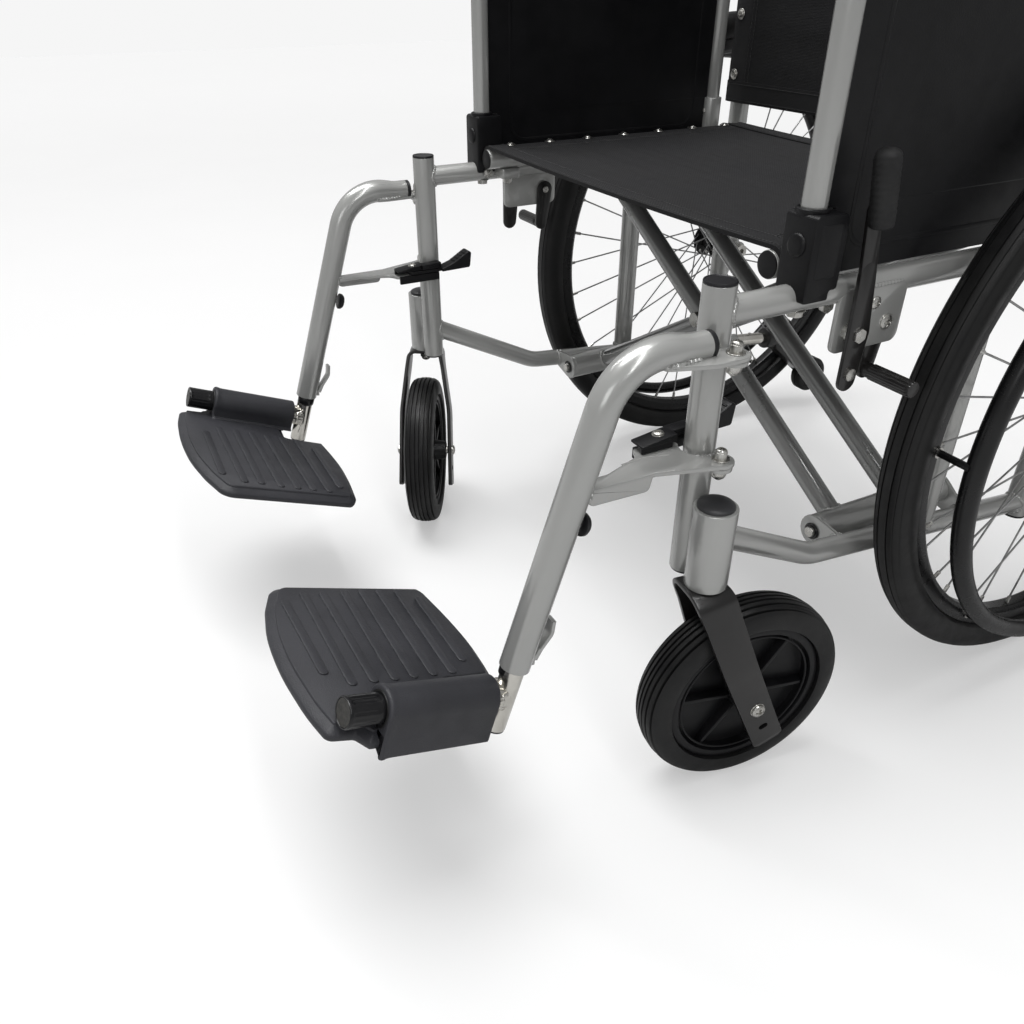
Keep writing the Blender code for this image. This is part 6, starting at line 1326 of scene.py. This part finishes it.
def seatAcross(lift=0.0, wrap=None, count=150):
    # round the right rail, level over to the left rail and round it: the angle runs from 180 + wrap degrees to 90,
    # and from 90 to -wrap
    wrap = seat["wrap"] if wrap is None else wrap
    r = seat["hug"] + lift
    right, left = np.radians(np.linspace(180 + wrap, 90, 22)), np.radians(np.linspace(90, -wrap, 22))
    x = np.concatenate([-seat["railX"] + r * np.cos(right), np.linspace(-seat["railX"], seat["railX"], count)[1:-1],
        seat["railX"] + r * np.cos(left)])
    z = np.concatenate([seat["railZ"] + r * np.sin(right), np.full(count - 2, seat["railZ"] + r),
        seat["railZ"] + r * np.sin(left)])
    return x, z


def seatGrid(ys, lift=0.0, wrap=None, lines=150):
    # height = rail top - sag * (1 - (x / rail)^2), less at the hems, with slack folds that run from rail to rail
    x, z = seatAcross(lift, wrap, lines)
    y = np.asarray(ys, float)[:, None]
    inside = np.clip(1 - (x[None] / seat["railX"]) ** 2, 0, 1)
    edge = np.clip(np.minimum(y - seat["front"], seat["rear"] - y) / 0.05, 0, 1)
    fold = 0.00045 * np.sin(2 * np.pi * (y / 0.061 + 0.3 * np.sin(x[None] * 9)))
    fold = fold + 0.0003 * np.sin(2 * np.pi * y / 0.023 + 7 * x[None])
    height = z[None] - inside * (seat["sag"] * (0.75 + 0.25 * edge)) + fold * inside**0.5 * edge
    return np.stack([np.broadcast_to(x[None], height.shape), np.broadcast_to(y, height.shape), height], -1)


def seatSling():
    s = seat
    width = s["railX"] * 2 + 2 * np.radians(90 + s["wrap"]) * s["hug"]
    length = s["rear"] - s["front"]
    cloth = wovenCloth("seatCloth", (width, length))
    hemCloth = wovenCloth("seatHemCloth", (width, s["hem"]))
    main = makePiece("seatCloth", [sheet(seatGrid(np.linspace(s["front"], s["rear"], 90)), s["thick"])], cloth,
        "brace_a", 1, ["seat_sling"], sharp=60)
    hems = []
    for y0, y1 in ((s["front"] + 0.0001, s["front"] + s["hem"]), (s["rear"] - s["hem"], s["rear"] - 0.0001)):
        hems.append(sheet(seatGrid(np.linspace(y0, y1, 8), 0.0018, s["wrap"] - 4), s["hemThick"]))
    edge = makePiece("seatHems", hems, hemCloth, "brace_a", 1, sharp=60)
    lines = []
    for y in (s["front"] + 0.0035, s["front"] + s["hem"] - 0.0035, s["rear"] - s["hem"] + 0.0035,
            s["rear"] - 0.0035):
        lines.append(stitches(seatGrid([y], 0.0027, s["wrap"] - 6, 400)[0]))
    for x in (-0.2235, -0.2185, 0.2185, 0.2235):
        ys = np.linspace(s["front"] + s["hem"], s["rear"] - s["hem"], 300)
        grid = seatGrid(ys, 0.0013, None, 300)
        column = np.abs(grid[0, :, 0] - x).argmin()
        lines.append(stitches(grid[:, column]))
    thread = makePiece("seatStitches", lines, "thread", "brace_a", 1)
    for piece in (main, edge, thread):
        del piece["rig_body"]
        piece.parent = None
        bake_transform(piece)
    for body, sign in (("brace_a", -1), ("brace_b", 1)):
        screws = []
        for y in np.linspace(s["front"] + 0.03, s["rear"] - 0.03, 7):
            screws += [washer((s["railX"], y, 0.48815), ez, 0.0066, 0.0009),
                roundHead((s["railX"], y, 0.4889), ez, 0.0044, 0.0022)]
        makePiece("seatScrews_" + body, screws, "zinc", body, sign)


back = {"half": 0.286, "bottom": 0.512, "top": 0.862, "y": 0.4604, "bow": 0.006, "thick": 0.0022, "hem": 0.026,
    "canes": chair["postX"]}


def backGrid(zs, lift=0.0, half=None, lines=150):
    # depth = cane face + bow * (1 - (x / cane)^2), the edges turning back a little beyond the canes, with folds
    half = half or back["half"]
    x = np.linspace(-half, half, lines)[None]
    z = np.asarray(zs, float)[:, None]
    inside = np.clip(1 - (x / 0.255) ** 2, 0, 1)
    beyond = np.clip(np.abs(x) - back["canes"], 0, None)
    edge = np.clip(np.minimum(z - back["bottom"], back["top"] - z) / 0.05, 0, 1)
    fold = 0.0007 * np.sin(2 * np.pi * (x / 0.083 + 0.2 * np.sin(z * 11))) + 0.0005 * np.sin(2 * np.pi * z / 0.047
        + 5 * x)
    depth = back["y"] + inside**0.8 * back["bow"] * (0.7 + 0.3
        * edge) + beyond**2 * 12 + fold * inside * edge - lift
    return np.stack([np.broadcast_to(x, depth.shape), depth, np.broadcast_to(z, depth.shape)], -1)


def backSling():
    b = back
    size = (2 * b["half"], b["top"] - b["bottom"])
    cloth, hemCloth = wovenCloth("backCloth", size), wovenCloth("backHemCloth", (size[0], b["hem"]))
    main = makePiece("backCloth", [sheet(backGrid(np.linspace(b["bottom"], b["top"], 80)), b["thick"])], cloth,
        "right_frame", 1, ["back_sling"], sharp=60)
    ends = ((b["bottom"] + 0.0001, b["bottom"] + b["hem"]), (b["top"] - b["hem"], b["top"] - 0.0001))
    hems = [sheet(backGrid(np.linspace(*end, 8), lift, b["half"] - 0.0002), seat["hemThick"])
        for lift in (0.0018, -0.0018) for end in ends]
    edge = makePiece("backHems", hems, hemCloth, "right_frame", 1, sharp=60)
    lines = []
    for z in (b["bottom"] + 0.0035, b["bottom"] + b["hem"] - 0.0035, b["top"] - b["hem"] + 0.0035,
            b["top"] - 0.0035):
        lines += [stitches(backGrid([z], lift, b["half"] - 0.002, 400)[0]) for lift in (0.0027, -0.0027)]
    zs = np.linspace(b["bottom"] + b["hem"], b["top"] - b["hem"], 300)
    grid, rearGrid = backGrid(zs, 0.0013, None, 400), backGrid(zs, -0.0013, None, 400)
    for x in (-0.2515, -0.2465, 0.2465, 0.2515):
        column = np.abs(grid[0, :, 0] - x).argmin()
        lines += [stitches(grid[:, column]), stitches(rearGrid[:, column])]
    thread = makePiece("backStitches", lines, "thread", "right_frame", 1)
    for piece in (main, edge, thread):
        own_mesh(piece)
    for side, tag in sides:
        screws = []
        for z in np.linspace(b["bottom"] + 0.034, b["top"] - 0.034, 5):
            screws += [washer((b["canes"], b["y"] - 0.0015, z), -ey, 0.0066, 0.001),
                roundHead((b["canes"], b["y"] - 0.0024, z), -ey, 0.0046, 0.0024),
                       tube([(b["canes"], b["y"] - 0.0018, z), (b["canes"], b["y"] + 0.006, z)], 0.0022, 12)]
        maker(side, tag)("backScrews", screws, "zinc", "frame")


seatSling()
backSling()
print("made the slings")

pad = {"inset": 0.003, "corner": 0.016, "low": 0.7142, "high": 0.7356, "voxel": 0.0048, "pressure": 4.0,
    "cap": 0.0042, "frames": 20}


def puffed(piece):
    # remeshed to even cells, blown up a little by cloth pressure, and no point moved further than the cap
    scene = bpy.context.scene
    remesh = piece.modifiers.new("evenCells", "REMESH")
    remesh.mode, remesh.voxel_size = "VOXEL", pad["voxel"]
    mesh = bpy.data.meshes.new_from_object(piece.evaluated_get(bpy.context.evaluated_depsgraph_get()))
    piece.modifiers.clear()
    piece.data = mesh
    rest = np.empty(len(mesh.vertices) * 3, np.float32)
    mesh.vertices.foreach_get("co", rest)
    rest = rest.reshape(-1, 3)
    moved = rest
    cloth = piece.modifiers.new("stuffing", "CLOTH")
    cloth.settings.use_pressure = True
    cloth.settings.uniform_pressure_force = pad["pressure"]
    cloth.settings.effector_weights.gravity = 0
    cloth.settings.quality = 6
    cloth.point_cache.frame_start, cloth.point_cache.frame_end = 1, pad["frames"]
    for number in range(1, pad["frames"] + 1):
        scene.frame_set(number)
    swollen = piece.evaluated_get(bpy.context.evaluated_depsgraph_get()).to_mesh()
    moved = np.empty(len(swollen.vertices) * 3, np.float32)
    swollen.vertices.foreach_get("co", moved)
    moved = moved.reshape(-1, 3)
    piece.evaluated_get(bpy.context.evaluated_depsgraph_get()).to_mesh_clear()
    piece.modifiers.clear()
    scene.frame_set(1)
    change = moved - rest
    far = np.linalg.norm(change, axis=-1, keepdims=True)
    moved = rest + change * np.minimum(1, pad["cap"] / np.maximum(far, 1e-9))
    moved[:, 2] = np.clip(moved[:, 2], pad["low"] - 0.0001, None)
    faces = np.empty(len(mesh.loops), np.int32)
    mesh.loops.foreach_get("vertex_index", faces)
    return moved.astype(float), faces.reshape(-1, 4)  # a voxel remesh is all quads


def armPads():
    x, half = chair["postX"], arm["padHalf"] - pad["inset"]
    y0, y1 = arm["pad"][0] + pad["inset"], arm["pad"][1] - pad["inset"]
    corners = [(x - half, y0), (x + half, y0), (x + half, y1), (x - half, y1)]
    low, high = pad["low"], pad["high"]
    rows = [(0.0015, low), (0.0, low + 0.0015), (0.0, high - 0.0085), (0.0012, high - 0.0045),
        (0.004, high - 0.0014), (0.0085, high)]
    blank = makePiece("armPadBlank", [layered(corners, rows, corner=pad["corner"], steps=8)], "vinyl",
        "armrest_left")
    moved, quads = puffed(blank)
    bpy.data.objects.remove(blank)
    piping = filleted(inset(np.array(corners), -0.0008), pad["corner"] + 0.001, 12, True)
    ends = np.concatenate([piping, piping[:1]])
    cord = placed(ends, np.linspace(0, runOf(ends)[-1], 401)[:-1])
    cord = np.concatenate([cord, np.full((400, 1), low + 0.0022)], 1)
    outward = np.stack([cord[:, 0] - x, (cord[:, 1] - (y0 + y1) / 2) * 0.05, np.zeros(400)], -1)
    for side, tag in sides:
        make = maker(side, tag)
        piece = make("armPad", [shell(moved - (0, chair["shiftY"], 0), [quads])], "vinyl", "armrest",
            "arm_pad", sharp=180)
        smooth = piece.modifiers.new("smoothSkin", "SUBSURF")
        smooth.levels = smooth.render_levels = 1
        make("armPiping", [bead(cord, outward, 0.0012, True, 0.003, 8)], "vinyl", "armrest", sharp=60)


armPads()
print("made the arm pads")

# Floor, light and camera
stage = {"size": 9.0, "floor": (0.52, 0.52, 0.52), "world": 0.33, "sky": 0.92, "lift": 0.4, "liftFar": 0.5}
floorMesh = bpy.data.meshes.new("floor")
floorMesh.from_pydata([(stage["size"] * x, stage["size"] * y, 0) for x, y in ((-1, -1), (1, -1), (1, 1), (-1, 1))],
    [], [(0, 1, 2, 3)])
floor = bpy.data.objects.new("floor", floorMesh)
linkObject(floor)
n = Nodes("paleFloor")
n.put(n.shader.inputs["Base Color"],
    n.mix(n.ramp(n.noise(3, 4), 0.3, 0.7), stage["floor"], tuple(0.985 * c for c in stage["floor"])))
n.shader.inputs["Roughness"].default_value = 0.75
n.shader.inputs["Emission Color"].default_value = (1, 1, 1, 1)
away = n.add("VectorMath", {"operation": "LENGTH"}, i0=n.place).outputs["Value"]
n.put(n.shader.inputs["Emission Strength"],
    n.math("MULTIPLY", n.add("LightPath").outputs["Is Camera Ray"],
    n.ramp(away, 1.0, 6.0, stage["lift"], stage["liftFar"])))
floorMesh.materials.append(n.material)

world = bpy.data.worlds.new("paleRoom")
bpy.context.scene.world = world
world.use_nodes = True
tree = world.node_tree
light = tree.nodes.new("ShaderNodeLightPath")
seen = tree.nodes.new("ShaderNodeMath")
seen.operation = "MAXIMUM"
tree.links.new(light.outputs["Is Camera Ray"], seen.inputs[0])
tree.links.new(light.outputs["Is Transmission Ray"], seen.inputs[1])
strength = tree.nodes.new("ShaderNodeMapRange")
tree.links.new(seen.outputs[0], strength.inputs["Value"])
strength.inputs["To Min"].default_value = stage["world"]
strength.inputs["To Max"].default_value = stage["sky"]
tree.links.new(strength.outputs["Result"], tree.nodes["Background"].inputs["Strength"])
tree.nodes["Background"].inputs["Color"].default_value = (1, 1, 1, 1)

# each lamp: kind, place, what it aims at, size, and power; the two long strips draw the streaks along the tubes
lamps = {
    "sky": ("SUN", (-0.6, -0.5, 3.0), (0, 0, 0), (np.radians(34), 0), 1.55),
    "nearStrip": ("AREA", (1.5, -0.3, 2.5), (0.2, -0.1, 0.4), (0.2, 3.2), 20),
    "farStrip": ("AREA", (-0.7, -0.5, 2.7), (0.0, -0.1, 0.3), (0.22, 3.2), 22),
    "nearFront": ("AREA", (2.4, -2.8, 1.7), (0.1, -0.2, 0.4), (1.4, 1.4), 10),
}
for name, (kind, place, aim, size, power) in lamps.items():
    data = bpy.data.lights.new(name, kind)
    data.energy = power
    if kind == "SUN":
        data.angle = size[0]
    else:
        data.shape, data.size, data.size_y = "RECTANGLE", size[0], size[1]
    lamp = bpy.data.objects.new(name, data)
    linkObject(lamp)
    lamp.location = place
    lamp.rotation_euler = (Vector(aim) - Vector(place)).to_track_quat("-Z", "Y").to_euler()

view = {"place": (0.737693, -0.634351, 0.66833), "yaw": 1.089, "pitch": 0.565, "roll": -0.003, "lens": 30.19}
yaw, pitch, roll = view["yaw"], view["pitch"], view["roll"]
forward = np.array([-np.sin(yaw) * np.cos(pitch), np.cos(yaw) * np.cos(pitch), -np.sin(pitch)])
right = np.array([np.cos(yaw), np.sin(yaw), 0])
up = np.cross(right, forward)
right, up = np.cos(roll) * right + np.sin(roll) * up, np.cos(roll) * up - np.sin(roll) * right
cameraData = bpy.data.cameras.new("photoView")
cameraData.lens, cameraData.sensor_width, cameraData.clip_start = view["lens"], 36.0, 0.01
camera = bpy.data.objects.new("photoView", cameraData)
linkObject(camera)
pose = np.eye(4)
pose[:3, 0], pose[:3, 1], pose[:3, 2], pose[:3, 3] = right, up, -forward, view["place"]
camera.matrix_world = Matrix(pose.tolist())
bpy.context.scene.camera = camera
bpy.context.scene.view_settings.view_transform = "Standard"
